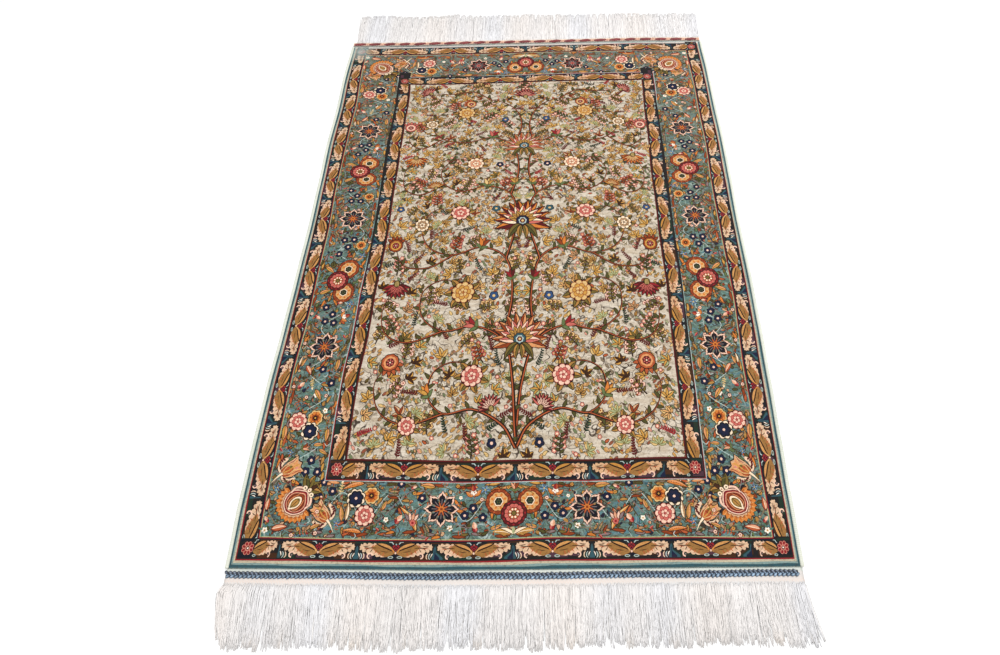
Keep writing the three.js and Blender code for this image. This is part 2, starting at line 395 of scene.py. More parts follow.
def navyScallop():
    parts = bloom(
        [(18.6, 8, 0.15, "soil"), (17.2, 8, 0.2, "cream"), (14.6, 7, 0.16, "ink"), (11.4, 7, 0.24, "navy")]
    )
    return parts + bloom([(2.6, 5, 0.1, "blush")])


def calyxBloom(top="fawn", body="brick"):
    # a flower on a tapering stem, with a combed sepal curling away on each side
    parts = []
    for side in (-1, 1):
        arc = [(side * 4, -15), (side * 13, -13), (side * 19, -5), (side * 20, 6)]
        parts += line(arc, 10.6, "soil", 12, 0.5) + line(arc, 8.2, "biscuit", 12, 0.5)
        for place, turn in zip(smooth(arc, 7)[1:], (50, 68, 86, 104, 122)):
            tooth = blade(8, 3.8, 0.1, "wine", None, 6)
            parts += moved(tooth, place * (0.94, 1), -side * turn, 1, side < 0)
    cup = np.array([
        (-9, -12), (9, -12), (14, 2), (13, 15), (16, 25), (6, 22), (0, 27), (-6, 22), (-15, 25), (-13, 12),
        (-13, 2),
    ])
    parts += [(cup * 1.1, "soil"), (cup, top), (cup * (0.8, 0.86) + (2.4, 1), "apricot")]
    parts += [(oval(19, 26, (0, -3)), "rust"), (oval(16.5, 23, (0, -3)), body)]
    for side in (-1, 1):
        parts += line([(side * 1.5, -12), (side * 7, 0), (side * 5, 9), (side * 9, 18)], 1.5, "straw", 10)
        parts += line([(side * 10, 4), (side * 10, 14), (side * 12.5, 21)], 1.3, "crimson", 8)
    parts += [(around(smooth([(0, -10), (1, 0), (-0.5, 10), (0, 21)], 9), 1.1), "gold")]
    parts += [
        (oval(5, 5, (-3, 6)), "olive"), (oval(4.4, 7, (4.5, 15)), "pink"), (oval(4, 6, (-5, 15)), "apricot")
    ]
    parts += tail([(0, -12), (1.5, -24), (6, -38)], 6.4, "umber", 9)
    parts += tail([(0, -12), (1.5, -24), (6, -37)], 4.6, "cream", 9)
    return parts


def zigzag(radius, notch, count, spread):
    # an open fan below a point, with a toothed edge
    angle = np.radians(np.linspace(-spread / 2, spread / 2, 2 * count + 1))
    reach = radius * np.where(np.arange(2 * count + 1) % 2, 1, notch)
    return np.vstack([[(0, 6)], np.stack([np.sin(angle) * reach, -np.cos(angle) * reach], 1)])


def palmette():
    # the corner flower: a fan of orange rays below, a veined bud with curled sepals above
    parts = fan([(oval(8, 12), "ink")], 5, 150, 31, 0) + fan([(oval(4, 7), "sea")], 8, 200, 33, 180)
    parts += [(zigzag(37.4, 0.88, 14, 212), "umber"), (zigzag(35.6, 0.88, 14, 206), "orange")]
    parts += fan(line([(0, 14), (0, 29)], 1.3, "rust", 4), 14, 200, 0, 180)
    parts += fan(line([(0, 18), (0, 33)], 1.5, "honey", 4), 13, 186, 0, 180)
    parts += [(zigzag(27.6, 0.9, 10, 190), "rust"), (zigzag(26.4, 0.9, 10, 186), "fawn")]
    bud = np.array([
        (0, -22), (12, -17), (20, -6), (22, 6), (18, 16), (9, 24), (0, 29), (-9, 24), (-18, 16), (-22, 6),
        (-20, -6), (-12, -17),
    ])
    outline = smooth(np.vstack([bud, bud[:1]]), 34)[:-1]
    for share, dye in (
        (1.08, "wine"), (1.02, "blush"), (0.93, "wine"), (0.88, "crimson"), (0.8, "salmon"), (0.73, "wine"),
        (0.69, "rust"),
    ):
        parts.append((outline * share, dye))
    for side in (-1, 1):
        for reach in (6.5, 9.5, 12.5):
            arc = [(0, -15), (side * reach, -8), (side * (reach + 1), 4), (side * reach * 0.7, 15)]
            parts += line(arc, 1.2, "wine" if reach != 9.5 else "apricot", 10)
    drop = smooth([(0, -15), (7, -4), (6.5, 7), (0, 13), (-6.5, 7), (-7, -4), (0, -15)], 20)[:-1]
    parts += [(drop * 1.22, "wine"), (drop * 1.12, "cream"), (drop * 0.82, "olive"), (drop * 0.6, "ochre")]
    parts += line([(0, -9), (0, 8)], 1.2, "umber", 6)
    for side in (-1, 1):
        curl = [(side * 20, 6), (side * 21, 17), (side * 15, 25), (side * 9, 27)]
        parts += line(curl, 5.2, "wine", 12) + line(curl, 3.8, "blush", 12)
        parts += [(oval(10, 10, (side * 9, 30)), "umber"), (oval(8.6, 8.6, (side * 9, 30)), "cream")]
        parts += [(oval(3, 3, (side * 9, 30)), "soil")]
    parts += [
        (oval(8, 10, (0, 33)), "umber"), (oval(6.6, 8.6, (0, 33)), "cream"),
        (oval(2.4, 3, (0, 33)), "crimson"),
    ]
    return parts


def tulip(petal="salmon", dark="rust"):
    parts = leaf(19, 8, 0, petal, dark, None, "umber", 8)
    for side in (-1, 1):
        outer = blade(18, 6, 0.35, dark if side < 0 else petal, "umber", 8)
        parts += moved(outer, (side, 0), -side * 8, 1, side < 0)
        parts += moved(blade(13, 4.4, 0.3, "leafGreen", "moss", 7), (0, -4), -side * 42, 1, side < 0)
    parts += line([(0, -16), (0, 2)], 1.5, "moss", 6)
    return parts


def basePair():
    # two gold leaves spreading from one foot
    parts = moved(leaf(33, 11, 0.3, "ochre", "gold", "cream", None, 9), (4, -8), -66)
    parts += moved(blade(24, 5, 0.5, "cream", "umber", 9), (0, -9), -38)
    return both(parts) + [(oval(6, 13, (0, -2)), "paleGreen")]


def blueFloret():
    parts = allRound(leaf(7.5, 3.6, 0.1, "blue", "sky", None, None, 6), 5, 1.5)
    return parts + [(oval(3, 3), "straw")] + line([(0, -3), (3, -10), (1, -15)], 1.1, "moss")


def whiteCluster():
    # a knot of white petals under a red one, on two orange leaves
    parts = moved(leaf(17, 8, 0.2, "apricot", "orange", None, "umber", 8), (-2, -8), 62)
    parts += moved(leaf(17, 8, 0.2, "apricot", "orange", None, "umber", 8), (2, -8), -62, 1, True)
    parts += bloom([(8.4, 5, 0.3, "rust"), (7, 5, 0.34, "milk")])
    parts += moved(leaf(12, 9, 0, "brick", "crimson", None, "wine", 7), (0, 2))
    return parts + [(oval(2.6, 2.6, (-1.5, -1)), "crimson")]


def budBloom(top="salmon", lower="crimson"):
    parts = moved(leaf(12, 8, 0, lower, "rose", None, "wine", 7), (0, -8))
    parts += moved(leaf(13, 9, 0.1, top, "blush", None, None, 7), (0, -2), 12)
    return parts + line([(0, -8), (-3, -14), (-8, -17)], 1.2, "moss")


def sprayBloom(petal="milk", heart="gold", leaves="sea"):
    parts = allRound(blade(9, 3.6, 0.15, leaves, None, 6), 4, 5, 30)
    return parts + bloom([(6.2, 5, 0.35, petal), (2, 5, 0.1, heart)])


def comma(dye="deepTeal"):
    return tail([(0, 7), (3, 1), (1, -5), (-4, -8)], 4.2, dye, 8)


def goldLeaf():
    return leaf(30, 10, 0.12, "gold", "apricot", "umber", "umber")


def longLeaf():
    # a long curved leaf with beads of a darker dye down its middle
    parts = leaf(44, 9, 0.26, "orange", "apricot", None, "umber", 12)
    path = bow(40, 0.26, 9)
    return parts + [(oval(1.8, 2.6, place), "rust") for place in path[1:]]


def rustLeaf():
    parts = leaf(24, 9, 0.1, "brick", "salmon", None, "wine")
    return parts + line([(0, 2), (1, 20)], 1.2, "cream", 7)


def tanPair():
    parts = moved(leaf(34, 7.5, 0.1, "tan", "cream", None, "umber"), (-4, -16), 4)
    return parts + moved(leaf(30, 8.5, 0.12, "apricot", "ochre", None, "umber"), (4, -18), -8)


def paleSprig():
    return sprig(26, 4, 0.1, "straw", "straw", "cream", 6.4) + line([(-3, 2), (-5, 18)], 1.2, "paleGreen")


def redSprig():
    return sprig(20, 3, 0.2, "moss", "brick", "crimson", 6.5)


def brownGroup():
    parts = []
    for step, dye in enumerate(("rust", "taupe", "tan")):
        parts += moved(blade(20, 4, 0.1, dye, "umber", 7), (-9, -6 + 6 * step), -84)
    return parts + sprig(15, 2, 0.1, "moss", "leafGreen", "pink", 5)


def pinkSpray():
    # a curved gold leaf with a spray of pink buds beside it
    parts = moved(leaf(50, 9, 0.35, "orange", "straw", None, "umber", 12), (-14, -22), -18)
    for x, turn, dye in ((-8, 48, "blush"), (-5, 26, "salmon"), (-2, 4, "blush"), (1, -18, "mauve")):
        parts += moved(blade(14, 5, 0.2, dye, "wine", 7), (x, -4), turn)
    parts += moved(
        bloom([(6.5, 6, 0.2, "wine"), (5.7, 6, 0.2, "rose"), (2.6, 5, 0.2, "crimson")]), (-7, -8)
    )
    return parts


def oliveLeaves():
    # dark leaves behind a flower
    parts = []
    for turn, dye in ((-58, "olive"), (-20, "umber"), (16, "olive"), (52, "moss")):
        light = "ochre" if dye == "olive" else "olive"
        parts += moved(leaf(25, 11, 0.08, dye, light, "soil", "soil", 8), (0, -10), turn)
    return parts


def greenLow():
    parts = sprig(17, 3, 0.25, "moss", "leafGreen", "rose", 5.5)
    return parts + moved(leaf(12, 5, 0, "crimson", "rose", None, None, 6), (5, 2), -50)


def nest():
    # fine curls on the ground round the larger flowers
    parts = line([(-26, -14), (-14, -25), (8, -27), (25, -15)], 1.1, "taupe", 12)
    return parts + line([(26, 10), (18, 25), (-4, 29), (-24, 17)], 1.1, "olive", 12)


def completed(rows, count=5):
    # rows of so many values, where a last size of 1 and the turn of 0 before it may be left out
    return [row + (0, 1)[len(row) - count + 2:] for row in rows]


# Where they stand: the distance from the side's middle and from the rug's outer edge, the turn in
# degrees (up is inwards) and the size. Everything comes twice, mirrored about the middle
endFlowers = completed([
    (nest, 0, 96, 0, 1.5), (basePair, 0, 60), (orangeRosette, 28.7, 110), (pinkRosette, 0, 88),
    (tulip, 0, 131, 0, 0.8), (blueFloret, 54, 132, 20), (whiteCluster, 75, 128, -8, 0.9),
    (smallBloom, 74, 99), (smallBloom, 89, 86, 20), (smallBloom, 56, 82, 40), (budBloom, 70, 64, -20),
    (sprayBloom, 115, 64, 0, 0.9), (nest, 132, 97, 0, 1.35), (starBloom, 132, 97.5),
    (comma, 169, 87, 0, 1.2), (smallBloom, 169, 116), (smallBloom, 210, 141, 0, 0.95),
    (goldLeaf, 147, 137, -78, 0.9), (redSprig, 122, 139, -60, 0.7), (brownGroup, 221, 121, 0, 0.9),
    (pinkSpray, 190, 80), (budBloom, 210, 77, 30), (sprayBloom, 232, 77, 0, 0.8),
    (goldLeaf, 241, 94, 30, 0.6), (greenLow, 239, 56, 0, 0.8), (nest, 275, 100, 0, 1.3),
    (orangeBloom, 263, 119), (cabbageRose, 272, 84), (navyScallop, 291, 114),
    (longLeaf, 276, 55, -70, 0.75), (tanPair, 308, 90, 6, 0.9), (paleSprig, 322, 120, 10, 0.9),
    (longLeaf, 280, 141, -92, 0.85), (redSprig, 322, 56, 10, 0.7), (smallBloom, 337, 126),
    (smallBloom, 356, 142, 30, 0.95), (smallBloom, 357, 115, 10), (calyxBloom, 349, 84, -46),
    (blueFloret, 322, 70, 80, 0.8), (sprayBloom, 98, 118, 0, 0.6), (redSprig, 103, 54, 80, 0.8),
    (goldLeaf, 42, 62, 80, 0.7), (comma, 30, 66, 40, 0.8), (brownGroup, 160, 60, 60, 0.8),
    (greenLow, 150, 52, -80, 0.8), (budBloom, 187, 135, 60, 0.6), (comma, 244, 134, 60, 0.9),
])

sideFlowers = completed([
    (nest, 0, 93, 0, 1.35), (starBloom, 0, 93, 0, 0.96), (smallBloom, 58, 84), (smallBloom, 57, 105, 30),
    (smallBloom, 76, 95, 10), (smallBloom, 94, 79), (orangeBloom, 72, 123, 0, 0.75),
    (blueFloret, 101, 132, 0, 0.9), (nest, 160, 96, 90, 1.5), (orangeRosette, 132.5, 108),
    (orangeRosette, 189, 108), (pinkRosette, 160.5, 90), (tulip, 160, 134, 0, 0.6),
    (goldLeaf, 126, 58, -30, 0.8), (goldLeaf, 192, 56, 30, 0.8), (blueFloret, 217, 127),
    (smallBloom, 224, 77), (smallBloom, 240, 94), (smallBloom, 256, 81, 20), (smallBloom, 259, 100, 40),
    (whiteCluster, 245, 121, 20, 0.8), (nest, 312, 93, 0, 1.35), (starBloom, 312, 93, 0, 0.96),
    (smallBloom, 359, 103), (smallBloom, 387, 126), (rustLeaf, 352, 68, -50, 0.9),
    (paleSprig, 378, 84, -70, 0.8), (budBloom, 393, 65, 40, 0.9), (sprayBloom, 410, 100),
    (goldLeaf, 400, 96, -50, 0.8), (tanPair, 342, 56, 84, 0.6), (goldLeaf, 338, 130, -84, 0.8),
    (sprayBloom, 441, 123, 0, 0.9), (redSprig, 436, 102, -90, 0.8), (nest, 467, 92, 0, 1.3),
    (orangeBloom, 455, 106), (cabbageRose, 462, 73, 0, 0.95), (navyScallop, 480, 100),
    (goldLeaf, 470, 50, -80, 0.9), (goldLeaf, 474, 134, -84, 0.8), (tulip, 512, 92, 20, 0.7),
    (goldLeaf, 505, 112, 10, 0.6), (goldLeaf, 513, 124, -20, 0.6), (blueFloret, 519, 71, 0, 0.7),
    (greenLow, 507, 48, 0, 0.8), (smallBloom, 532, 113), (smallBloom, 551, 128, 20),
    (smallBloom, 551, 106, 10), (calyxBloom, 549, 74, 30, 0.95), (redSprig, 30, 62, -30, 0.8),
    (redSprig, 34, 126, 30, 0.8), (brownGroup, 44, 60, 40, 0.8), (greenLow, 96, 56, 20, 0.9),
    (goldLeaf, 112, 122, 40, 0.5), (budBloom, 214, 104, 0, 0.6), (brownGroup, 276, 62, 70, 0.7),
    (greenLow, 281, 124, 0, 0.9), (comma, 284, 74), (comma, 110, 90, 20), (redSprig, 424, 58, -40, 0.9),
    (comma, 430, 76), (brownGroup, 372, 134, 70, 0.6), (budBloom, 246, 62, -40, 0.8),
])

farFlowers = [(wineStar if flower[0] is starBloom else flower[0], *flower[1:]) for flower in endFlowers]

# the same for a corner: distances in from both edges
cornerFlowers = completed([
    (oliveLeaves, 121, 137, -36, 1.1), (nest, 98, 102, -45, 1.7), (palmette, 97, 103, -44),
    (budBloom, 51, 73, 30, 0.7), (sprayBloom, 50, 55, 0, 0.9), (rustLeaf, 62, 57, -74, 1.1),
    (rustLeaf, 47, 90, 0, 0.9), (blueFloret, 60, 130, 0, 0.8), (redSprig, 108, 52, -80, 0.9),
    (goldLeaf, 130, 60, -60, 0.6),
])

# The ground behind them is covered with fine vines: mean h, swing, wave length, phase, the stem's dye and
# the leaves' dye
vineRows = [
    (94, 40, 148, 0.3, "umber", "moss"), (98, 34, 186, 1.9, "mauve", "umber"),
    (92, 44, 124, 3.2, "taupe", "rust"),
    (88, 30, 236, 4.4, "soil", "brick"), (100, 24, 92, 5.1, "mist", "pine"),
]


def vine(points, width, dye, leafDye, pitch=13.0, size=7.5, edge=None):
    # a fine stem with small leaves on alternate sides at an even pitch
    count = 5 * len(points)
    parts = line(points, width, dye, count, 0.2)
    path = smooth(points, count)
    run = np.concatenate([[0], np.cumsum(np.linalg.norm(np.diff(path, axis=0), axis=1))])
    marks = np.arange(pitch / 2, run[-1], pitch)
    places = np.stack([np.interp(marks, run, path[:, axis]) for axis in (0, 1)], 1)
    ahead = np.stack([np.interp(marks + 1, run, path[:, axis]) for axis in (0, 1)], 1) - places
    turns = np.degrees(np.arctan2(-ahead[:, 0], ahead[:, 1]))
    small = blade(size, size * 0.38, 0.15, leafDye, edge, 6)
    for index, (place, turn) in enumerate(zip(places, turns)):
        side = 1 if index % 2 else -1
        parts += moved(small, place, turn - side * 48, 1, side < 0)
    return parts


def borderVines(reach):
    parts = []
    for level, swing, wave, phase, dye, leafDye in vineRows:
        s = np.arange(0, reach + 1, wave / 8)
        h = level + swing * np.sin(2 * math.pi * s / wave + phase)
        parts += vine(np.stack([s, h], 1), 1.5, dye, leafDye)
    return parts


fillers = [
    (blade(15, 5, 0.25, "ochre", "soil", 6), 3), (blade(13, 4.6, 0.3, "moss", "soil", 6), 3),
    (blade(14, 4.4, 0.2, "brick", "soil", 6), 2), (blade(16, 4.6, 0.3, "orange", "umber", 6), 2),
    (blade(12, 4.4, 0.2, "leafGreen", "pine", 6), 2), (blade(11, 4, 0.1, "tan", "umber", 6), 2),
    (bloom([(4.8, 5, 0.3, "soil"), (3.6, 5, 0.3, "gold"), (1.3, 4, 0, "crimson")]), 2),
    (bloom([(4.8, 5, 0.3, "wine"), (3.6, 5, 0.3, "blush"), (1.2, 4, 0, "wine")]), 2),
    (line([(-7, 0), (0, 4), (7, 0)], 1.5, "umber"), 3),
    (line([(-6, 0), (0, 3.4), (7, -1)], 1.4, "mauve"), 2),
    (line([(-6, 1), (0, -3), (6, 1)], 1.6, "soil"), 3), (line([(-6, 2), (0, -2), (5, 3)], 1.5, "mist"), 2),
]


def scatterFill(reach, flowers, rng):
    # small bits on the bare ground, none of them on a flower
    taken = np.array([(s, h) for _, s, h, _, size in flowers])
    wide = np.array([15.0 * size for _, _, _, _, size in flowers])
    parts = []
    chances = np.array([weight for _, weight in fillers], float)
    places = np.stack([rng.uniform(0, reach, int(reach * 0.8)), rng.uniform(48, 143, int(reach * 0.8))], 1)
    picks = rng.choice(len(fillers), len(places), p=chances / chances.sum())
    turns = rng.uniform(0, 360, len(places))
    byEdge = (places[:, 1] < 60) | (places[:, 1] > 131)
    turns = np.where(byEdge, np.where(turns < 180, 90, 270) + turns / 12 - 15, turns)
    for place, pick, turn in zip(places, picks, turns):
        if (np.linalg.norm(taken - place, axis=1) > wide).all():
            parts += moved(fillers[pick][0], place, turn)
    return parts


def halfSide(flowers, reach, seed):
    # one half of a side, from its middle to the corner
    rng = np.random.default_rng(seed)
    parts = borderVines(reach)
    for level, dyesHere in (
        (52, ("rust", "olive", "gold", "mauve", "brick")),
        (140, ("gold", "moss", "apricot", "rust", "taupe")),
    ):
        for s in np.arange(8, reach, 21):
            length, bend = rng.uniform(15, 26), rng.uniform(-0.1, 0.1)
            slim = blade(length, 4.6, bend, dyesHere[rng.integers(0, 5)], "umber", 7)
            place = (s + rng.uniform(-5, 5), level + rng.uniform(-3, 3))
            parts += moved(slim, place, rng.choice((-90, 90)) + rng.uniform(-9, 9))
    parts += scatterFill(reach, flowers, rng)
    for make, s, h, turn, size in flowers:
        parts += moved(make(), (s, h), turn, size)
    return parts


print("flowers drawn")


# Guard bands: mirrored leaves from a heart, and a notch with commas between two units

unitPitch, sidePitch = 139.5, 133.0  # a unit's length on the ends, as drawn, and on the sides
guardDepth = 33.0
leafUpper = [
    (1, 13), (6, 18.4), (13, 23), (22, 25.8), (32, 26.6), (42, 25.6), (52, 25.6), (60, 25), (66, 22.4)
]
leafLower = [
    (1, 11), (7, 8.2), (15, 5.8), (24, 5.6), (32, 7.8), (40, 10.4), (47, 13), (55, 15), (61, 18), (66, 22.4)
]
bodyUpper = [(1, 13.2), (6, 18.8), (13, 23.6), (22, 26.4), (30, 27), (37, 25), (44, 20.4)]
bodyLower = [(1, 10.8), (7, 7.8), (14, 5.4), (21, 6.2), (28, 9.4), (36, 14), (44, 20.4)]


def guardLeaf(upperDye, lowerDye, paleDye):
    # a pale wing with scalloped edges, a bronze one over its inner part, a rib and dark strokes
    upper, lower = smooth(leafUpper, 25), smooth(leafLower, 33)
    low, high = np.arange(33), np.arange(25)
    bite = 3.2 * np.abs(np.sin(low * math.pi / 4)) * np.clip(low / 8 - 1.0, 0, 1) * (low < 31)
    nick = 2.6 * np.abs(np.sin(high * math.pi / 3)) * np.clip(high / 3 - 4.0, 0, 1) * (high < 23)
    edge = lower + np.array([[0.5, -1.0]]) * bite[:, None]
    crest = upper + np.array([[0.6, 1.0]]) * nick[:, None]
    parts = [(np.vstack([edge, crest[::-1]]), paleDye)]
    top, bottom = smooth(bodyUpper, 13), smooth(bodyLower, 13)
    parts += [
        (np.vstack([bottom, top[-2::-1]]) + (1.6, -0.2), "salmon"),
        (np.vstack([bottom, top[-2::-1]]), lowerDye),
    ]
    parts.append(
        (np.vstack([[(5, 14.6), (12, 17.6), (22, 21), (30, 24), (36, 26)], top[-4::-1]]), upperDye)
    )
    for x, y in ((24, 6.6), (31, 8.2), (38, 10.6), (46, 12.8), (54, 15.2)):
        dye = "brick" if x < 40 else "umber"
        parts += line([(x, y), (x - 2.6, y + 3), (x - 3.8, y + 6)], 1.6, dye, 6, 0.8)
    parts += line([(47, 24), (53, 22.2), (60, 22.6)], 1.5, "umber", 6, 0.8)
    parts += line([(40, 25.4), (42, 22.8), (45, 21)], 1.3, "brick", 6, 0.8)
    parts += line([(46, 17.4), (52, 18.6), (59, 19.6)], 1.1, "brick", 6, 0.8)
    parts += line([(3, 13.4), (12, 17.4), (22, 20.8), (30, 23.8), (36, 27)], 2.4, "soil", 12, 0.5)
    parts += line([(34, 19.6), (42, 20), (50, 19.6), (57, 20.8)], 1.6, "umber", 9, 0.6)
    parts += line([(12, 13), (20, 13.4), (29, 15.4)], 1.1, "umber", 7, 0.8)
    hook = [(39, 8), (44, 11), (49, 9), (49, 4.6), (45.4, 2.6)]
    parts += line(hook, 2.4, "blush", 13, 0.3) + [(oval(2.8, 3, (45.2, 6.4)), "mauve")]
    parts += line([(2, 24), (5, 25.6), (8, 28.8), (13, 29)], 1.7, "mist", 10)
    return parts + [(oval(10, 4.2, (8, 4.6)), "mist"), (oval(6.6, 2.1, (8, 4.6)), "moss")]


def guardUnit(pitch, notch, hearts, wings):
    # from one notch to the next, about its heart
    half = guardLeaf(*wings)
    if notch == "commas":
        for x, width, dye in ((65, 2.0, "milk"), (60.6, 1.8, "mist"), (56.2, 1.7, "biscuit")):
            half += line(
                [(x + 1.6, 1.8), (x - 0.6, 4.4), (x - 0.4, 8.6), (x + 1.8, 11.4)], width, dye, 9, 0.6
            )
    parts = half + moved(half, flip=True)
    for side in (-1, 1):
        wide = 19 if notch == "plain" else 6
        spike = np.array(
            [(0, 27), (2.4, 23), (3.4, 15), (wide * 0.5, 11), (wide, 5), (wide, 1.5), (0, 1.5)]
        )
        edge = side * unitPitch / 2
        parts.append((spike * (-side, 1) + (edge, 0), "pine" if notch == "plain" else "night"))
        parts.append((spike * (-side * 0.8, 0.86) + (edge, 0.4), "deepTeal"))
        if notch == "plain":
            parts.append((spike * (-side * 0.5, 0.7) + (edge, 0.6), "navy"))
    heart = np.array([
        (0, 14.6), (5.4, 19), (6.6, 22.2), (3.4, 24.8), (0, 23), (-3.4, 24.8), (-6.6, 22.2), (-5.4, 19),
    ])
    parts += [((heart - (0, 20)) * 1.24 + (0, 20), "ink"), (heart, "crimson")]
    parts += line([(-4.6, 18.8), (0, 22), (4.6, 18.8)], 1.5, "ink", 7)
    parts += [(oval(3.0, 2.6, (0, 17.6)), "ink"), (oval(2.6, 2.4, (0, 25.4)), "mist" if hearts else "rose")]
    for side in (-1, 1):
        parts += line(
            [(0, 10), (side * 4.4, 14), (side * 8, 18.6)], 1.6, "orange" if hearts else "honey", 8
        )
    parts += [(oval(5.2, 5.2, (0, 11.4)), "umber"), (oval(3.6, 3.8, (0, 11.6)), "blush")]
    share = pitch / unitPitch
    return [(ring * (share, 1), dye) for ring, dye in parts]


def guardBand(outer, hearts, pitch, corner, notches, seed, wings):
    # ground patches, a unit round each of the hearts, and a leaf that ends the band at its corner
    # flower. outer is the band's outer edge
    rng = np.random.default_rng(seed)
    end = corner + 14
    parts = [(np.array([(-end, 0), (end, 0), (end, guardDepth), (-end, guardDepth)]), "night")]
    for start in np.arange(-end, end, 34):
        length, low = min(rng.uniform(20, 44), end - start), rng.uniform(0, 6)
        patch = np.array([(0, low), (length, low), (length, low + 8), (0, low + 8)])
        parts.append((patch + (start, 0), ("ink", "umber", "pine", "plum")[rng.integers(0, 4)]))
        patch = np.array([(0, 27), (length, 27), (length, 31), (0, 31)])
        parts.append((patch + (start, 0), ("pine", "umber", "ink")[rng.integers(0, 3)]))
    for index, heart in enumerate(hearts):
        parts += moved(guardUnit(pitch, notches[index % len(notches)], index % 2, wings), (heart, 0))
    for side in (-1, 1):
        last = max(hearts) + pitch / 2
        lone = [(ring * (max(0.45, (corner - 12 - last) / 67), 1), dye) for ring, dye in guardLeaf(*wings)]
        # the lone leaf grows from the corner flower back to the last notch
        parts += [(ring * (-side, 1) + (side * (corner - 9), 0), dye) for ring, dye in lone]
    return [(ring + (0, outer), dye) for ring, dye in parts]


def cornerRosette():
    parts = [(oval(25, 25), "ink"), (oval(22.4, 22.4), "wine")]
    parts += allRound([(oval(6.2, 7.6), "pink"), (oval(4.6, 6.2), "crimson")], 8, 7.4)
    return parts + bloom([(4.6, 8, 0.2, "pink"), (3.4, 8, 0.2, "wine"), (1.5, 5, 0, "milk")])


# The whole pattern, in design millimetres: a from the left edge and b from the near edge

stretchFar = 1.045  # the long sides' far half was woven looser


def onNear(parts):
    return [(ring + (rugWidth / 2, 0), dye) for ring, dye in parts]


def onFar(parts):
    return [((rugWidth / 2, rugLength) + ring * (1, -1), dye) for ring, dye in parts]


def lengthways(ring):
    s = ring[:, 0]
    return np.stack([ring[:, 1], rugLength / 2 + np.where(s > 0, s * stretchFar, s)], 1)


def onLeft(parts):
    return [(lengthways(ring), dye) for ring, dye in parts]


def onRight(parts):
    return [((rugWidth, 0) + lengthways(ring) * (-1, 1), dye) for ring, dye in parts]


def frameRing(inA, inB, wobble=0.0, phase=0.0, farMore=0.0):
    # a rectangle set in from the rug's edge, its lines wandering a little, and further in by
    # farMore along the far end
    def run(length, shift):
        along = np.linspace(0, length, int(length / 18))[:-1]
        return along, wobble * (np.sin(along / 31 + shift) + 0.6 * np.sin(along / 13 + 2 * shift))
    clear, deep = rugWidth - 2 * inA, rugLength - 2 * inB - farMore
    a, b = run(clear, phase)
    bottom = np.stack([inA + a, inB + b], 1)
    top = np.stack([rugWidth - inA - a, inB + deep - run(clear, phase + 2)[1]], 1)
    a, b = run(deep, phase + 1)
    right = np.stack([rugWidth - inA - b, inB + a], 1)
    left = np.stack([inA + run(deep, phase + 3)[1], inB + deep - a], 1)
    return np.vstack([bottom, right, top, left])


# What runs right round, from the outer edge inwards: the dye, and the frame ring's settings
edgeLines = [
    ("deepTeal", 0.3, 0.5, 0.1), ("greyTeal", 3.4, 3.3, 0.4, 1, -1.4), ("eggshell", 5.6, 5.4, 0.4, 2, 2),
    ("sandDark", 7.2, 6.9, 0.4, 4, 1.6),
]
outerGuard, innerGuard = 10, 147  # where the guard bands begin
outerRosette, innerRosette = 26, 164  # where the rosettes at their corners have their middles
borderInside = 144  # where the flowers' border ends
# painted sheen: at the far end only, a broad pale stripe over the edge lines makes the pale band there
# wider and brighter
farSheenStripe = np.array([(4, 1409.6), (996, 1409.6), (996, 1417.6), (4, 1417.6)])  # one broad pale stripe
guardLines = [("crimson", 8.2, 8.0, 0.2, 3, 1.6), ("night", 9.6, 9.5, 0.1, 4, 0.8)]
borderGround = [
    ("ink", 39.2, 39.2, 0.15, 1), ("crimson", 41.2, 41.2, 0.15, 2), ("paleGreen", 43.1, 43.1, 0.15, 3),
    ("teal", 44.6, 44.6, 0.25, 4),
]
innerLines = [
    ("mist", 144.2, 144.2, 0.2, 1), ("crimson", 145.6, 145.6, 0.15, 2), ("night", 147.4, 147.4, 0.1, 3)
]
fieldEdge = [
    ("soil", 176.4, 176.4, 0.1, 1), ("wine", 178.6, 178.6, 0.15, 2), ("sand", 181.2, 181.2, 0.2, 3)
]


def framed(rows):
    return [(frameRing(*settings), dye) for dye, *settings in rows]


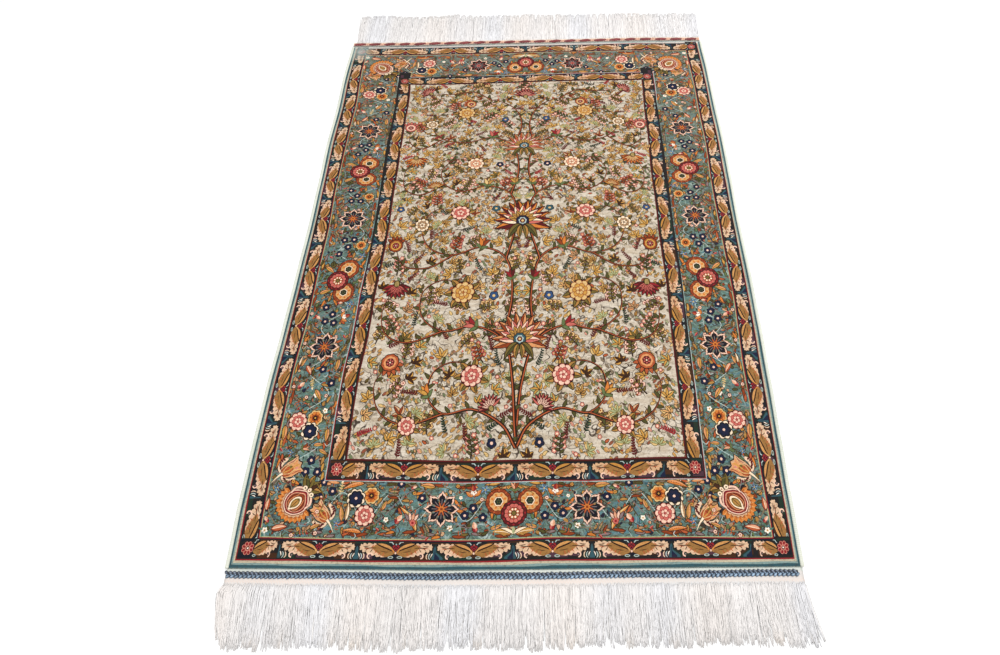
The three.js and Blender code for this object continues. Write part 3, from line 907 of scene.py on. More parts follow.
def drawBorders():
    parts = framed(edgeLines) + [(farSheenStripe, "shell")] + framed(guardLines)
    paleWings, warmWings = ("amber", "brass", "wing"), ("saffron", "brass", "fawn")
    notches = ("commas", "plain")
    hearts = [-349, -209.5, -70, 70, 209.5, 349]
    endOuter = guardBand(
        outerGuard, hearts, unitPitch, rugWidth / 2 - outerRosette, ("commas", *notches), 3, paleWings
    )
    sideOuter = guardBand(
        outerGuard, list(np.arange(-4, 5) * sidePitch), sidePitch, rugLength / 2 - outerRosette, notches, 4,
        paleWings,
    )
    parts += onLeft(sideOuter) + onRight(sideOuter) + onNear(endOuter) + onFar(endOuter)
    parts += framed(borderGround)
    for flowers, reach, sides, seed in (
        (sideFlowers, rugLength / 2, (onLeft, onRight), 11), (endFlowers, rugWidth / 2, (onNear,), 12),
        (farFlowers, rugWidth / 2, (onFar,), 12),
    ):
        half = halfSide(flowers, reach - borderInside, seed)
        for place in sides:
            parts += place(half) + place(moved(half, flip=True))
    rng = np.random.default_rng(13)
    corner = []
    for level in (58, 80, 128):
        path = [(46, level), (70, level + 14), (level + 10, 72), (level, 48)]
        corner += vine(path, 1.5, "umber" if level < 100 else "taupe", "moss")
        corner += vine(
            [(level, 144), (level + 14, 110), (level + 22, 80), (144, level)], 1.4, "mauve", "rust"
        )
    taken = np.array([(97, 103, 40), (121, 137, 16), (62, 57, 12), (47, 90, 12)])
    for spot, pick, turn in zip(
        rng.uniform(47, 144, (90, 2)), rng.integers(0, len(fillers), 90), rng.uniform(0, 360, 90)
    ):
        if (np.linalg.norm(taken[:, :2] - spot, axis=1) > taken[:, 2]).all():
            corner += moved(fillers[pick][0], spot, turn)
    for make, p, q, turn, size in cornerFlowers:
        corner += moved(make(), (p, q), turn, size)
    for home, mirror in (
        ((0, 0), (1, 1)), ((0, rugLength), (1, -1)), ((rugWidth, 0), (-1, 1)),
        ((rugWidth, rugLength), (-1, -1)),
    ):
        parts += [(ring * mirror + home, dye) for ring, dye in corner]
    parts += framed(innerLines)
    endInner = guardBand(
        innerGuard, [-209, -69.6, 69.6, 209], unitPitch, rugWidth / 2 - innerRosette, notches, 5, warmWings
    )
    sideInner = guardBand(
        innerGuard, list(np.arange(-3, 4) * sidePitch), sidePitch, rugLength / 2 - innerRosette, notches, 6,
        warmWings,
    )
    parts += onLeft(sideInner) + onRight(sideInner) + onNear(endInner) + onFar(endInner)
    for inset in (outerRosette, innerRosette):
        for a in (inset, rugWidth - inset):
            for b in (inset, rugLength - inset):
                parts += moved(cornerRosette(), (a, b))
    return parts + framed(fieldEdge)


# The field: a mirrored all-over design of scrolling stems and flowers on a sand ground

def crownPalmette(radius, petal="apricot", inner="blush", dark="rust", heart="deepTeal"):
    # a large open flower seen from the side: rows of outlined petals over a cup
    parts = fan(leaf(52, 15, 0, dark, petal, "soil", "soil", 9), 12, 216, 2, 0)
    parts += fan(leaf(38, 12.5, 0, inner, "rose", "wine", "soil", 9), 9, 184, 2, 0)
    parts += fan(leaf(26, 10.5, 0, "ochre", "gold", "soil", "soil", 8), 7, 150, 1, 0)
    parts += bloom([
        (13.6, 8, 0.1, "soil"), (12, 8, 0.14, heart), (8, 7, 0.16, "mist"), (5.4, 6, 0.1, "wine"),
        (2.6, 5, 0, "straw"),
    ])
    low = moved(leaf(34, 12, 0.45, "moss", "olive", "soil", "soil"), (4, -8), -118)
    parts += both(low + moved(leaf(26, 9, 0.4, "olive", "ochre", "soil", "soil"), (2, -10), -150))
    return moved(parts, size=radius / 50)


def carnation(petal="rose", light="pink", dark="wine"):
    parts = fan(leaf(26, 8.4, 0, dark, petal, None, "soil", 8), 9, 156, 2)
    parts += fan(leaf(17, 5.4, 0, light, None, dark, dark, 7), 6, 116, 2)
    parts += [(oval(14, 16, (0, -4)), "soil"), (oval(11, 13, (0, -4)), "olive")]
    for x in (-3, 0, 3):
        parts += line([(x * 0.6, -9), (x, 2)], 1.1, "straw", 5)
    return parts


def pomegranate(skin="brick", light="apricot"):
    parts = fan(blade(13, 6, 0, skin, "soil", 7), 5, 100, 12)
    parts += bloom(
        [(16.6, 9, 0.06, "soil"), (15, 9, 0.07, skin), (11.5, 8, 0.08, light), (8, 7, 0.1, "wine")]
    )
    return parts + allRound([(oval(2.6, 3.4), "rose")], 6, 4.6) + [(oval(3, 3), "cream")]


roseTones = {
    "yellow": ("straw", "gold", "rust"), "pink": ("blush", "rose", "crimson"),
    "orange": ("cream", "salmon", "rust"),
    "tan": ("cream", "tan", "umber"),
}


def fieldRose(tone):
    parts = allRound(leaf(17, 9.5, 0.1, "olive", "ochre", "soil", "soil", 7), 7, 13, 11)
    return parts + cabbageRose(*roseTones[tone], 19)


def branch(points, width):
    # a woody stem with a lit edge
    count = 7 * len(points)
    lit = np.asarray(points) + (0.14 * width, 0.1 * width)
    return tail(points, width + 1, "soil", count) + tail(lit, width * 0.36, "brick", count)


def tuft(body, half, count=4, spread=150, size=19, edge="soil"):
    # broad veined leaves from one foot, the middle ones longer
    parts = []
    for turn in np.linspace(-spread / 2, spread / 2, count):
        long = size * (1.15 - 0.35 * abs(turn) / 75)
        parts += moved(leaf(long, size * 0.48, 0.1, body, half, edge, edge, 7), turn=turn)
    return parts


def blossomTwig(length, petal, heart, foliage, bend=0.22):
    # a dark twig with a shoot to either side in turn, each with a blossom, and leaves between
    path = bow(length, bend, 9)
    parts = [(around(path, np.linspace(1.5, 0.8, 9)), "soil")]
    flower = bloom([(6, 5, 0.24, "wine"), (4.7, 5, 0.28, petal), (1.7, 4, 0, heart)])
    small = blade(10, 4.4, 0.1, foliage, "soil", 6)
    for index, root in enumerate(path[2:]):
        side = 1 if index % 2 else -1
        tip = root + (side * (10 - 0.6 * index), 5.5)
        parts += line([root, (root + tip) / 2 + (0, 1), tip], 1.2, "soil", 4)
        parts += moved(small, root, side * 64, 1, side > 0)
        parts += moved(flower, tip)
    return parts


def berryTwig(length, dye, bend=0.2):
    # a fine twig with pairs of pointed berries
    path = bow(length, bend, 8)
    parts = [(around(path, 0.8), "umber")]
    for index, root in enumerate(path[1:]):
        for side in (-1, 1):
            parts += moved(blade(7.6 - 0.4 * index, 3.6, 0, dye, None, 6), root, -side * 50, 1, side < 0)
    return parts


def openTuft():
    # leaves drawn in outline only, filled with the pale ground
    parts = fan(leaf(15, 7.4, 0.1, "paleGreen", "straw", "olive", "olive", 7), 5, 150, 1)
    return parts + line([(0, 2), (1, -7), (-2, -15)], 1.3, "olive", 6)


fieldSeed, fieldInset = 21, 180.5
fieldStems = [  # scrolls up one half, each from the middle line or another scroll, and its width
    ([(0, 20), (26, 62), (84, 92), (142, 84), (176, 118), (168, 168), (124, 186), (92, 158)], 7.5),
    ([(0, 40), (10, 150), (34, 228), (96, 262), (164, 252), (212, 286), (214, 344), (168, 370),
      (128, 340)], 7),
    ([(34, 228), (20, 330), (38, 420), (96, 450), (160, 432), (218, 452), (240, 510), (206, 560),
      (150, 548)], 6.5),
    ([(38, 420), (14, 520), (30, 610), (90, 640), (150, 622), (196, 650), (206, 704), (168, 742),
      (122, 724)], 6),
    ([(30, 610), (12, 700), (28, 790), (84, 826), (150, 806), (214, 824), (246, 880), (216, 934),
      (158, 930)], 5.5),
    ([(28, 790), (10, 880), (34, 950), (92, 984), (148, 968)], 5),
    ([(142, 84), (214, 62), (268, 84), (286, 138), (262, 180)], 5),
    ([(164, 252), (236, 226), (286, 246), (298, 300), (276, 352)], 4.6),
    ([(160, 432), (214, 400), (270, 404), (296, 450)], 4.4),
    ([(196, 650), (252, 612), (292, 632), (300, 690), (278, 742)], 4.2),
    ([(214, 824), (262, 786), (298, 810), (302, 866)], 4),
    ([(92, 984), (142, 1020), (206, 1012), (262, 1024)], 4),
]

fieldFlowers = completed([  # the flower with its settings, then x, y, turn and size
    (crownPalmette, (54,), 0, 232), (crownPalmette, (62, "orange", "cream", "wine", "navy"), 0, 520),
    (crownPalmette, (50, "tan", "blush", "brick", "deepTeal"), 0, 792), (carnation, (), 0, 1000, 0, 1.1),
    (fieldRose, ("pink",), 92, 158, 0, 1.2), (fieldRose, ("yellow",), 128, 340, 0, 1.35),
    (fieldRose, ("pink",), 150, 548, 20, 1.25), (fieldRose, ("orange",), 122, 724, 0, 1.15),
    (fieldRose, ("yellow",), 158, 930, 0, 1.2), (pomegranate, (), 262, 184, 150, 1.15),
    (carnation, ("crimson", "rose"), 276, 356, 176, 1.1),
    (pomegranate, ("rust", "gold"), 296, 456, 0, 1.05),
    (carnation, ("orange", "straw", "rust"), 276, 746, 170, 1.1),
    (pomegranate, ("rose", "blush"), 302, 870), (tulip, ("rose", "crimson"), 96, 262, -60, 1.3),
    (tulip, ("orange", "rust"), 96, 452, 20, 1.3), (tulip, ("straw", "ochre"), 90, 644, 10, 1.3),
    (tulip, ("rose", "crimson"), 84, 830, 10, 1.3), (carnation, ("rose", "blush"), 50, 96, -30, 0.9),
    (carnation, ("gold", "straw", "rust"), 218, 640, -20, 0.8), (fieldRose, ("tan",), 240, 512, 0, 0.95),
    (fieldRose, ("pink",), 212, 60, 0, 0.95), (pomegranate, ("brick", "straw"), 148, 968, -60, 0.9),
    (carnation, ("rose", "pink"), 262, 1020, -50, 0.9), (fieldRose, ("tan",), 246, 884, 0, 0.9),
    (tulip, ("gold", "orange"), 176, 120, -40, 1.2),
    (smallBloom, ("blue", "straw", "ink"), 60, 330, 0, 1.3),
    (smallBloom, ("deepTeal", "straw", "ink"), 64, 560, 0, 1.3),
    (smallBloom, ("navy", "blush", "ink"), 60, 720, 0, 1.2),
    (smallBloom, ("blue", "straw", "ink"), 54, 900, 0, 1.2),
    (smallBloom, ("navy", "blush", "ink"), 46, 30, 0, 1.2),
    (smallBloom, ("blue", "straw", "ink"), 296, 560, 0, 1.2),
    (tulip, ("crimson", "wine"), 24, 372, -14, 1.1), (tulip, ("gold", "ochre"), 20, 650, -10, 1.1),
], 6)


def fieldScatter(rng, keep):
    # tufts and twigs on the bare ground, closer together up the field and clear of one another,
    # then small things in the gaps
    large = [
        tuft("gold", "straw"), tuft("olive", "gold"), tuft("ochre", "straw", 5, 170, 16),
        tuft("rust", "fawn", 3, 110),
        tuft("umber", "gold", 4, 150, 17), openTuft(), openTuft(), tuft("gold", "straw", 3, 100, 20),
        tuft("gold", "paleGreen", 4, 150, 18),
        tuft("honey", "straw", 5, 180, 17), tuft("tan", "apricot", 4, 140, 17),
        blossomTwig(38, "pink", "cream", "moss"), blossomTwig(36, "rose", "straw", "rust", -0.2),
        blossomTwig(34, "blush", "crimson", "olive"), blossomTwig(34, "straw", "rust", "olive", -0.25),
        berryTwig(32, "wine"), berryTwig(34, "pine", -0.2), berryTwig(30, "crimson", -0.1),
    ]
    small = [
        leaf(12, 5.4, 0.15, "ochre", None, "soil", "soil", 6),
        leaf(12, 5, -0.15, "olive", None, "soil", "soil", 6),
        bloom([(5.2, 5, 0.25, "wine"), (4, 5, 0.3, "pink"), (1.5, 4, 0, "cream")]),
        sprig(17, 3, 0.2, "umber", "moss", "rust", 6), sprig(17, 3, -0.2, "umber", "olive", "rose", 6),
        line([(-7, 0), (-2, 3), (3, -1), (8, 2)], 1.6, "umber", 10), blade(10, 4.6, 0, "brick", "soil", 6),
        leaf(11, 5, 0.2, "tan", None, "umber", "umber", 6), blade(11, 5, 0.2, "straw", "olive", 6),
    ]
    parts, places, gaps = [], np.full((1, 2), -99.0), np.zeros(1)
    for kinds, count, gap, shrink in ((large, 3600, 29, 0.8), (small, 6000, 13, 0.5)):
        tries = np.stack([rng.uniform(8, 308, count), rng.uniform(10, 1048, count)], 1)
        picks, turns = rng.integers(0, len(kinds), count), rng.uniform(-80, 80, count)
        for place, pick, turn in zip(tries, picks, turns):
            clear = (np.linalg.norm(keep[:, :2] - place, axis=1) > keep[:, 2] * shrink + 4).all()
            apart = gap * (1.08 - 0.3 * place[1] / 1059)
            if clear and (np.linalg.norm(places - place, axis=1) > (gaps + apart) / 2).all():
                places, gaps = np.vstack([places, place]), np.append(gaps, apart)
                parts += moved(kinds[pick], place - rotated([[0, 12 * shrink]], turn)[0], turn)
    return parts


def drawField():
    rng = np.random.default_rng(fieldSeed)
    keep = [(x, y, 24 * size) for _, _, x, y, _, size in fieldFlowers]
    for points, width in fieldStems:
        path = smooth(points, 6 * len(points))
        keep += [(x, y, 9 + width) for x, y in path[::3]]
    half = fieldScatter(rng, np.array(keep))
    for points, width in fieldStems:
        half += vine(np.asarray(points, float) + (0, 2), 1.4, "umber", "moss", 19, 16, "soil")
        half += branch(points, width)
    for make, settings, x, y, turn, size in fieldFlowers:
        half += moved(make(*settings), (x, y), turn, size)
    return [(ring + (rugWidth / 2, fieldInset), dye) for ring, dye in half + moved(half, flip=True)]


# From the design to the rug: the near half was beaten looser than the far half, so the borders
# keep these places, and all between is stretched evenly
designAcross = [0, 10, 42, 147, 180.5, 500, 819.5, 853, 958, 990, 1000]
wovenAcross = [0, 10.4, 41.4, 148.8, 181.4, 500, 818.9, 851.6, 959, 989.8, 1000]
designAlong = [0, 10, 42, 147, 180.5, 710, 1239.5, 1273, 1378, 1410, 1420]
wovenAlong = [0, 15.6, 49.1, 156, 194.9, 779, 1254.8, 1283.9, 1381.4, 1411.3, 1420]

# how far the inner guard strays: on the left and right by the place along, and at the ends by
# the place across
innerDrift = {
    "left": (
        [190, 260, 340, 460, 560, 640, 720, 790, 1060, 1140, 1240],
        [-1, -3, -2, -2, -2.5, 0.5, 1.5, 4, 5, 1, 3],
    ),
    "right": ([190, 420, 520, 640, 800, 1000, 1140, 1240], [3, 1.5, -2, -3, -2.5, -5, -4, -1]),
    "near": ([190, 300, 420, 510, 630, 740, 810], [0, -2, -3.5, -5, -5, -2, -1]),
    "far": ([190, 270, 400, 600, 660, 740, 810], [0, -3, 0, 1, 3, 3, 2]),
}


def woven(points):
    # design place to place on the flat rug, about its middle: scaled by stretches, moved with the
    # inner guard, and given a slow waver that dies out at the outer edge
    x = np.interp(points[:, 0], designAcross, wovenAcross)
    y = np.interp(points[:, 1], designAlong, wovenAlong)
    left, right = (np.interp(y, *innerDrift[side]) for side in ("left", "right"))
    near, far = (np.interp(x, *innerDrift[side]) for side in ("near", "far"))
    sideways = left * np.interp(x, [45, 150, 181, 480], [0, 1, 1, 0])
    sideways += right * np.interp(x, [520, 819, 850, 955], [0, 1, 1, 0])
    endways = near * np.interp(y, [55, 157, 196, 600], [0, 1, 1, 0])
    endways += far * np.interp(y, [800, 1254, 1284, 1375], [0, 1, 1, 0])
    sideways *= np.interp(y, [60, 200, 1240, 1370], [0, 1, 1, 0])
    endways *= np.interp(x, [45, 180, 820, 955], [0, 1, 1, 0])
    toEdge = np.minimum(np.minimum(x, rugWidth - x), np.minimum(y, rugLength - y))
    inside = np.clip(toEdge / 40, 0, 1)
    waveX = 1.3 * np.sin(y / 83 + 0.6) + 0.8 * np.sin(y / 37 + x / 160)
    waveY = 1.4 * np.sin(x / 91 + 1.1) + 0.8 * np.sin(x / 41 + y / 190)
    x, y = x - rugWidth / 2 + sideways + waveX * inside, y - rugLength / 2 + endways + waveY * inside
    return np.stack([x, y], 1)


def offChord(points, before, after):
    # how far each point lies from the line through its two neighbours
    chord, arm = after - before, points - before
    span = np.maximum(np.hypot(chord[:, 0], chord[:, 1]), 1e-6)
    return np.abs(chord[:, 0] * arm[:, 1] - chord[:, 1] * arm[:, 0]) / span


def thinned(ring, slack):
    # the ring without the points that lie nearly in line, every other point being tried in turn
    for turn in (0, 1, 0, 1):
        if len(ring) < 6:
            return ring
        keep = offChord(ring, np.roll(ring, 1, 0), np.roll(ring, -1, 0)) > slack
        keep[1 - turn :: 2] = True
        ring = ring[keep]
    return ring


def turnedRight(ring, slack):
    # the ring anticlockwise, starting from its lowest point, where the turn tells the hand
    ring = ring[np.linalg.norm(ring - np.roll(ring, 1, 0), axis=1) > 0.25]
    ring = thinned(ring, slack)
    if len(ring) < 3:
        return None
    ring = np.roll(ring, -int(np.lexsort((ring[:, 0], ring[:, 1]))[0]), axis=0)
    ahead, back = ring[1] - ring[0], ring[-1] - ring[0]
    turn = ahead[0] * back[1] - ahead[1] * back[0]
    if abs(turn) < 1e-9:
        return None
    return ring if turn > 0 else np.roll(ring[::-1], 1, axis=0)


def crossesItself(ring):
    # whether each of two edges has the other's ends on both its sides
    step = np.roll(ring, -1, 0) - ring
    arm = ring[None] - ring[:, None]
    side = step[:, None, 0] * arm[..., 1] - step[:, None, 1] * arm[..., 0]
    apart = side * np.roll(side, -1, 1) < 0
    return (apart & apart.T).any()


def dyedRings(parts, slack):
    # the rings as woven, but for the few that are too small or cross themselves
    rings = []
    for ring, dye in parts:
        ring = turnedRight(woven(ring), slack)
        if ring is not None and not crossesItself(ring):
            rings.append((ring, dyeIndex[dye]))
    print(len(rings), "rings of", len(parts), "with", sum(len(ring) for ring, _ in rings), "points")
    return rings


borderRings = dyedRings(drawBorders(), 0.16)
fieldRings = dyedRings(drawField(), 0.2)


# The pile: the rings are cut into one triangle net for each panel, closed below and at the sides

pile = {
    "gridPitch": 22,
    "slack": 0.12,  # how far an edge of the pattern may be straightened
    "undersidePitch": 40,
    "roundReach": 1.8,  # how far in the cut pile is rounded down at the rug's outer edges
    "roundDrop": 1.1,
}
panels = {  # lowest and highest place across and along
    "pile_field_near": (181.1, 194.9, 818.9, 725),
    "pile_field_far": (181.1, 725, 818.9, 1254.8),
    "pile_near": (0, 0, 1000, 194.9),
    "pile_far": (0, 1254.8, 1000, 1420),
    "pile_left": (0, 194.9, 181.1, 1254.8),
    "pile_right": (818.9, 194.9, 1000, 1254.8),
}


def pileHeight(points):
    # full height inside, rounded down towards the rug's outer edges
    edge = np.minimum(rugWidth / 2 - np.abs(points[:, 0]), rugLength / 2 - np.abs(points[:, 1]))
    share = 1 - np.clip(edge / pile["roundReach"], 0, 1)
    return rug["thickness"] - pile["roundDrop"] * share**2


def steps(low, high, pitch):
    return np.linspace(low, high, max(2, int(round((high - low) / pitch)) + 1))


def gridInside(low, high, pitch):
    # the points of an even grid, without those on its outline
    x, y = (steps(low[k], high[k], pitch)[1:-1] for k in (0, 1))
    return np.stack(np.meshgrid(x, y), -1).reshape(-1, 2)


def boxRing(low, high, pitch):
    # an upright rectangle with points at an even pitch
    x, y = steps(low[0], high[0], pitch)[:-1], steps(low[1], high[1], pitch)[:-1]
    bottom = np.stack([x, np.full(len(x), low[1])], 1)
    right = np.stack([np.full(len(y), high[0]), y], 1)
    return np.vstack([bottom, right, low + high - bottom, low + high - right])


def cutNet(low, high, rings):
    # every ring cut into one net of triangles, each with the dye of the last ring over it
    outline = boxRing(low, high, pile["gridPitch"])
    found = [(outline, dyeIndex["greyTeal"])]
    for ring, dye in rings:
        if (ring.max(0) > low).all() and (ring.min(0) < high).all():
            found.append((ring, dye))
    places = np.vstack([ring for ring, _ in found])
    starts = np.cumsum([0] + [len(ring) for ring, _ in found])
    faces = [list(range(first, last)) for first, last in zip(starts[:-1], starts[1:])]
    net = delaunay_2d_cdt(places.tolist(), [], faces, 0, 1e-5, True)
    points = np.array([tuple(point) for point in net[0]])
    lowest = np.fromiter((min(owners, default=-1) for owners in net[5]), int)
    highest = np.fromiter((max(owners, default=-1) for owners in net[5]), int)
    inside = lowest == 0
    return points, np.array(net[2])[inside], np.array([dye for _, dye in found])[highest[inside]]


def allSides(triangles):
    return np.concatenate([triangles[:, [0, 1]], triangles[:, [1, 2]], triangles[:, [2, 0]]])


def sharedEdges(triangles):
    # each edge once, with its first and last triangle, which are the same on the outline
    edges = np.sort(allSides(triangles), 1)
    owner = np.tile(np.arange(len(triangles)), 3)
    order = np.lexsort((edges[:, 1], edges[:, 0]))
    edges, owner = edges[order], owner[order]
    first = np.concatenate([[True], (np.diff(edges, axis=0) != 0).any(1)])
    last = np.concatenate([first[1:], [True]])
    return edges[first], owner[first], owner[last]


def straightened(points, edges, fixed, slack):
    # drops points between two edges that run nearly straight on. Of neighbours that could go, the
    # one with the highest of some shuffled ranks does
    rng = np.random.default_rng(7)
    for _ in range(6):
        count = np.bincount(edges.ravel(), minlength=len(points))
        total = np.bincount(edges.ravel(), edges[:, ::-1].ravel(), len(points)).astype(int)
        one = np.zeros(len(points), int)
        np.maximum.at(one, edges.ravel(), edges[:, ::-1].ravel())
        other = np.where(count == 2, total - one, 0)
        off = offChord(points, points[one], points[other])
        loose = (count == 2) & ~fixed & (off < slack) & (one != other)
        rank = rng.permutation(len(points)) * loose
        gone = loose & (rank > rank[one]) & (rank > rank[other])
        edges = edges[~gone[edges].any(1)]
        edges = np.vstack([edges, np.stack([one[gone], other[gone]], 1)])
    return edges


def paintedNet(low, high, rings):
    # the top of one panel: a light net through the first one's edges between two dyes, each
    # triangle dyed as the first net is at its middle
    points, triangles, dye = cutNet(low, high, rings)
    edges, first, last = sharedEdges(triangles)
    outer = first == last
    edges = edges[outer | (dye[first] != dye[last])]
    fixed = np.zeros(len(points), bool)
    fixed[sharedEdges(triangles)[0][outer].ravel()] = True
    edges = straightened(points, edges, fixed, pile["slack"])
    used, order = np.unique(edges, return_inverse=True)
    half = np.array([rugWidth, rugLength]) / 2
    inner = [gridInside(low, high, pile["gridPitch"])]
    for inset in (0.5, pile["roundReach"]):
        ring = boxRing(inset - half, half - inset, pile["gridPitch"] / 2)
        inner.append(ring[((ring > low) & (ring < high)).all(1)])
    places = np.vstack([points[used], *inner])
    net = delaunay_2d_cdt(places.tolist(), order.reshape(-1, 2).tolist(), [], 0, 1e-5, True)
    top, light = np.array([tuple(point) for point in net[0]]), np.array(net[2])
    tree = BVHTree.FromPolygons(
        np.column_stack([points, np.zeros(len(points))]).tolist(), triangles.tolist()
    )
    centre = np.column_stack([top[light].mean(1), np.ones(len(light))])
    down = Vector((0, 0, -1))
    hit = np.array([tree.ray_cast(Vector(spot), down)[2] for spot in centre.tolist()], float)
    inside = ~np.isnan(hit)
    return top, light[inside], dye[hit[inside].astype(int)]


def openEdges(triangles):
    # directed edges that only one triangle has
    edges = allSides(triangles)
    _, first, count = np.unique(np.sort(edges, 1), axis=0, return_index=True, return_counts=True)
    return edges[first[count == 1]]


def addPiece(name, points, faces, material, replaced=(), smoothFaces=True):
    # a mesh piece at the origin that rides on the rug
    mesh = bpy.data.meshes.new(name)
    mesh.vertices.add(len(points))
    mesh.vertices.foreach_set("co", np.asarray(points, np.float32).ravel())
    corners = faces.shape[1]
    mesh.loops.add(faces.size)
    mesh.loops.foreach_set("vertex_index", faces.astype(np.int32).ravel())
    mesh.polygons.add(len(faces))
    mesh.polygons.foreach_set("loop_start", np.arange(0, faces.size, corners, dtype=np.int32))
    mesh.polygons.foreach_set("loop_total", np.full(len(faces), corners, np.int32))
    mesh.polygons.foreach_set("use_smooth", np.full(len(faces), smoothFaces))
    mesh.update(calc_edges=True)
    mesh.validate()
    mesh.materials.append(material)
    piece = bpy.data.objects.new(name, mesh)
    bpy.context.scene.collection.objects.link(piece)
    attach(piece, "root")
    if replaced:
        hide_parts(*replaced)
    shown[name] = piece
    return piece


def paint(piece, colours, openness=0.0):
    # one colour for each face, kept on its corners. The alpha is 1 on the open ground of the
    # border, 0.5 on that of the field and 0 elsewhere, and on the fringe the strength of the painted shade
    # between the kinks
    mesh = piece.data
    layer = mesh.color_attributes.new("tint", "FLOAT_COLOR", "CORNER")
    perFace = len(mesh.loops) // len(mesh.polygons)
    full = np.ones((len(mesh.loops), 4), np.float32)
    full[:, :3] = np.repeat(colours, perFace, axis=0)
    full[:, 3] = np.repeat(np.broadcast_to(openness, len(mesh.polygons)), perFace)
    layer.data.foreach_set("color", full.ravel())


def makePanel(label, box, material):
    low, high = (np.array(corner, float) - (rugWidth / 2, rugLength / 2) for corner in (box[:2], box[2:]))
    top, net, dye = paintedNet(low, high, borderRings + (fieldRings if "field" in label else []))
    rim = openEdges(net)
    onRim, order = np.unique(rim, return_inverse=True)
    order = order.reshape(-1, 2)
    below = np.vstack([top[onRim], gridInside(low, high, pile["undersidePitch"])])
    under = delaunay_2d_cdt(below.tolist(), order.tolist(), [], 0, 1e-6, True)
    home = np.array([owners[0] for owners in under[3]])
    underNet = home[np.array(under[2])][:, ::-1] + len(top)
    walls = np.concatenate([
        np.stack([rim[:, 1], rim[:, 0], order[:, 0] + len(top)], 1),
        np.stack([rim[:, 1], order[:, 0] + len(top), order[:, 1] + len(top)], 1),
    ])
    points = np.vstack([
        laid(top[:, 0], top[:, 1], pileHeight(top)),
        laid(below[:, 0], below[:, 1], 0.0),
    ])
    faces = np.vstack([net, walls, underNet])
    piece = addPiece(label, points, faces, material, ("carpet",), False)
    palette = linear([dyes[key] for key in dyes])
    tints = np.vstack([
        palette[dye], np.tile(linear(dyes["mist"]), (len(walls), 1)),
        np.tile(linear(dyes["taupe"]), (len(underNet), 1)),
    ])
    openDyes = np.array([1.0 if name in ground else 0.5 if name == "sand" else 0.0 for name in dyes])
    paint(piece, tints, np.concatenate([openDyes[dye], np.zeros(len(walls) + len(underNet))]))
    share = (np.vstack([top, below]) - low) / (high - low)
    addPanelMap(piece, share, len(net), len(walls), len(top))
    print(label, "has", len(faces), "triangles")


def addPanelMap(piece, share, topFaces, wallFaces, topCount):
    # the OFBake map: the top over the upper part of the square, the underside and the walls below
    mesh = piece.data
    corner = np.zeros(len(mesh.loops), np.int32)
    mesh.loops.foreach_get("vertex_index", corner)
    face = np.arange(len(corner)) // 3
    isTop = face < topFaces
    isWall = (face >= topFaces) & (face < topFaces + wallFaces)
    across, along = share[corner].T
    u = 0.003 + 0.994 * np.where(isWall, (across + along) / 2, across)
    v = np.where(isTop, 0.14 + 0.857 * along, 0.045 + 0.09 * along)
    v = np.where(isWall, np.where(corner < topCount, 0.035, 0.005), v)
    layer = mesh.uv_layers.new(name="OFBake")
    layer.data.foreach_set("uv", np.stack([u, v], 1).astype(np.float32).ravel())


# Materials. Every piece keeps its dyes in an attribute named tint. The tint's alpha tells the pile
# where its ground is open, and the fringe how much painted shade falls in the gaps between the kinks

def fill(made, tree, inputs):
    # sets a node's inputs: a socket is linked, a dye's name becomes its colour
    for key, value in inputs.items():
        if isinstance(value, bpy.types.NodeSocket):
            tree.links.new(value, made.inputs[key])
        else:
            made.inputs[key].default_value = (*linear(dyes[value]), 1) if isinstance(value, str) else value
    return made


def node(tree, kind, inputs, **settings):
    made = tree.nodes.new("ShaderNode" + kind)
    for key, value in settings.items():
        setattr(made, key, value)
    return fill(made, tree, inputs)


def newGroup(name, amounts, masks=()):
    # a shader group: a colour, a place and named amounts go in, a colour and named masks come out
    tree = bpy.data.node_groups.new(name, "ShaderNodeTree")
    sockets = [("Color", "INPUT", "Color"), ("Place", "INPUT", "Vector")]
    sockets += [(label, "INPUT", "Float") for label in amounts] + [("Color", "OUTPUT", "Color")]
    for label, way, kind in sockets + [(label, "OUTPUT", "Float") for label in masks]:
        socket = tree.interface.new_socket(label, in_out=way, socket_type="NodeSocket" + kind)
        if label in amounts:
            socket.default_value = amounts[label]
    return tree, tree.nodes.new("NodeGroupInput").outputs, tree.nodes.new("NodeGroupOutput")


def noise(tree, place, scale, detail, distortion=0):
    inputs = {"Vector": place, "Scale": scale, "Detail": detail, "Distortion": distortion}
    return node(tree, "TexNoise", inputs).outputs


def stretched(tree, place, scale, stretch, detail=3, rough=0.5):
    # noise on object coordinates, drawn out along an axis by the stretch
    mapped = node(tree, "Mapping", {"Vector": place, "Scale": stretch}).outputs[0]
    inputs = {"Vector": mapped, "Scale": scale, "Detail": detail, "Roughness": rough}
    return node(tree, "TexNoise", inputs).outputs["Fac"]


def ramp(tree, value, low, high, fromLow=0, fromHigh=1):
    inputs = {"Value": value, "From Min": fromLow, "From Max": fromHigh, "To Min": low, "To Max": high}
    return node(tree, "MapRange", inputs).outputs[0]


def maths(tree, operation, first, second=0, clamp=False):
    return node(tree, "Math", {0: first, 1: second}, operation=operation, use_clamp=clamp).outputs[0]


def product(tree, first, second, clamp=False):
    return maths(tree, "MULTIPLY", first, second, clamp)


def vectors(tree, operation, inputs):
    return node(tree, "VectorMath", inputs, operation=operation).outputs


def mix(tree, share, first, second):
    # from the first colour to the second by the share
    return node(tree, "Mix", {0: share, 6: first, 7: second}, data_type="RGBA").outputs[2]


def picked(tree, value, tones):
    # one of several dyes, by the value: pairs of the place where a dye begins and its name
    chooser = node(tree, "ValToRGB", {"Fac": value})
    chooser.color_ramp.interpolation = "CONSTANT"
    stops = chooser.color_ramp.elements
    for index, (position, dye) in enumerate(tones):
        stop = stops[index] if index < 2 else stops.new(position)
        stop.position, stop.color = position, (*linear(dyes[dye]), 1)
    return chooser.outputs[0]


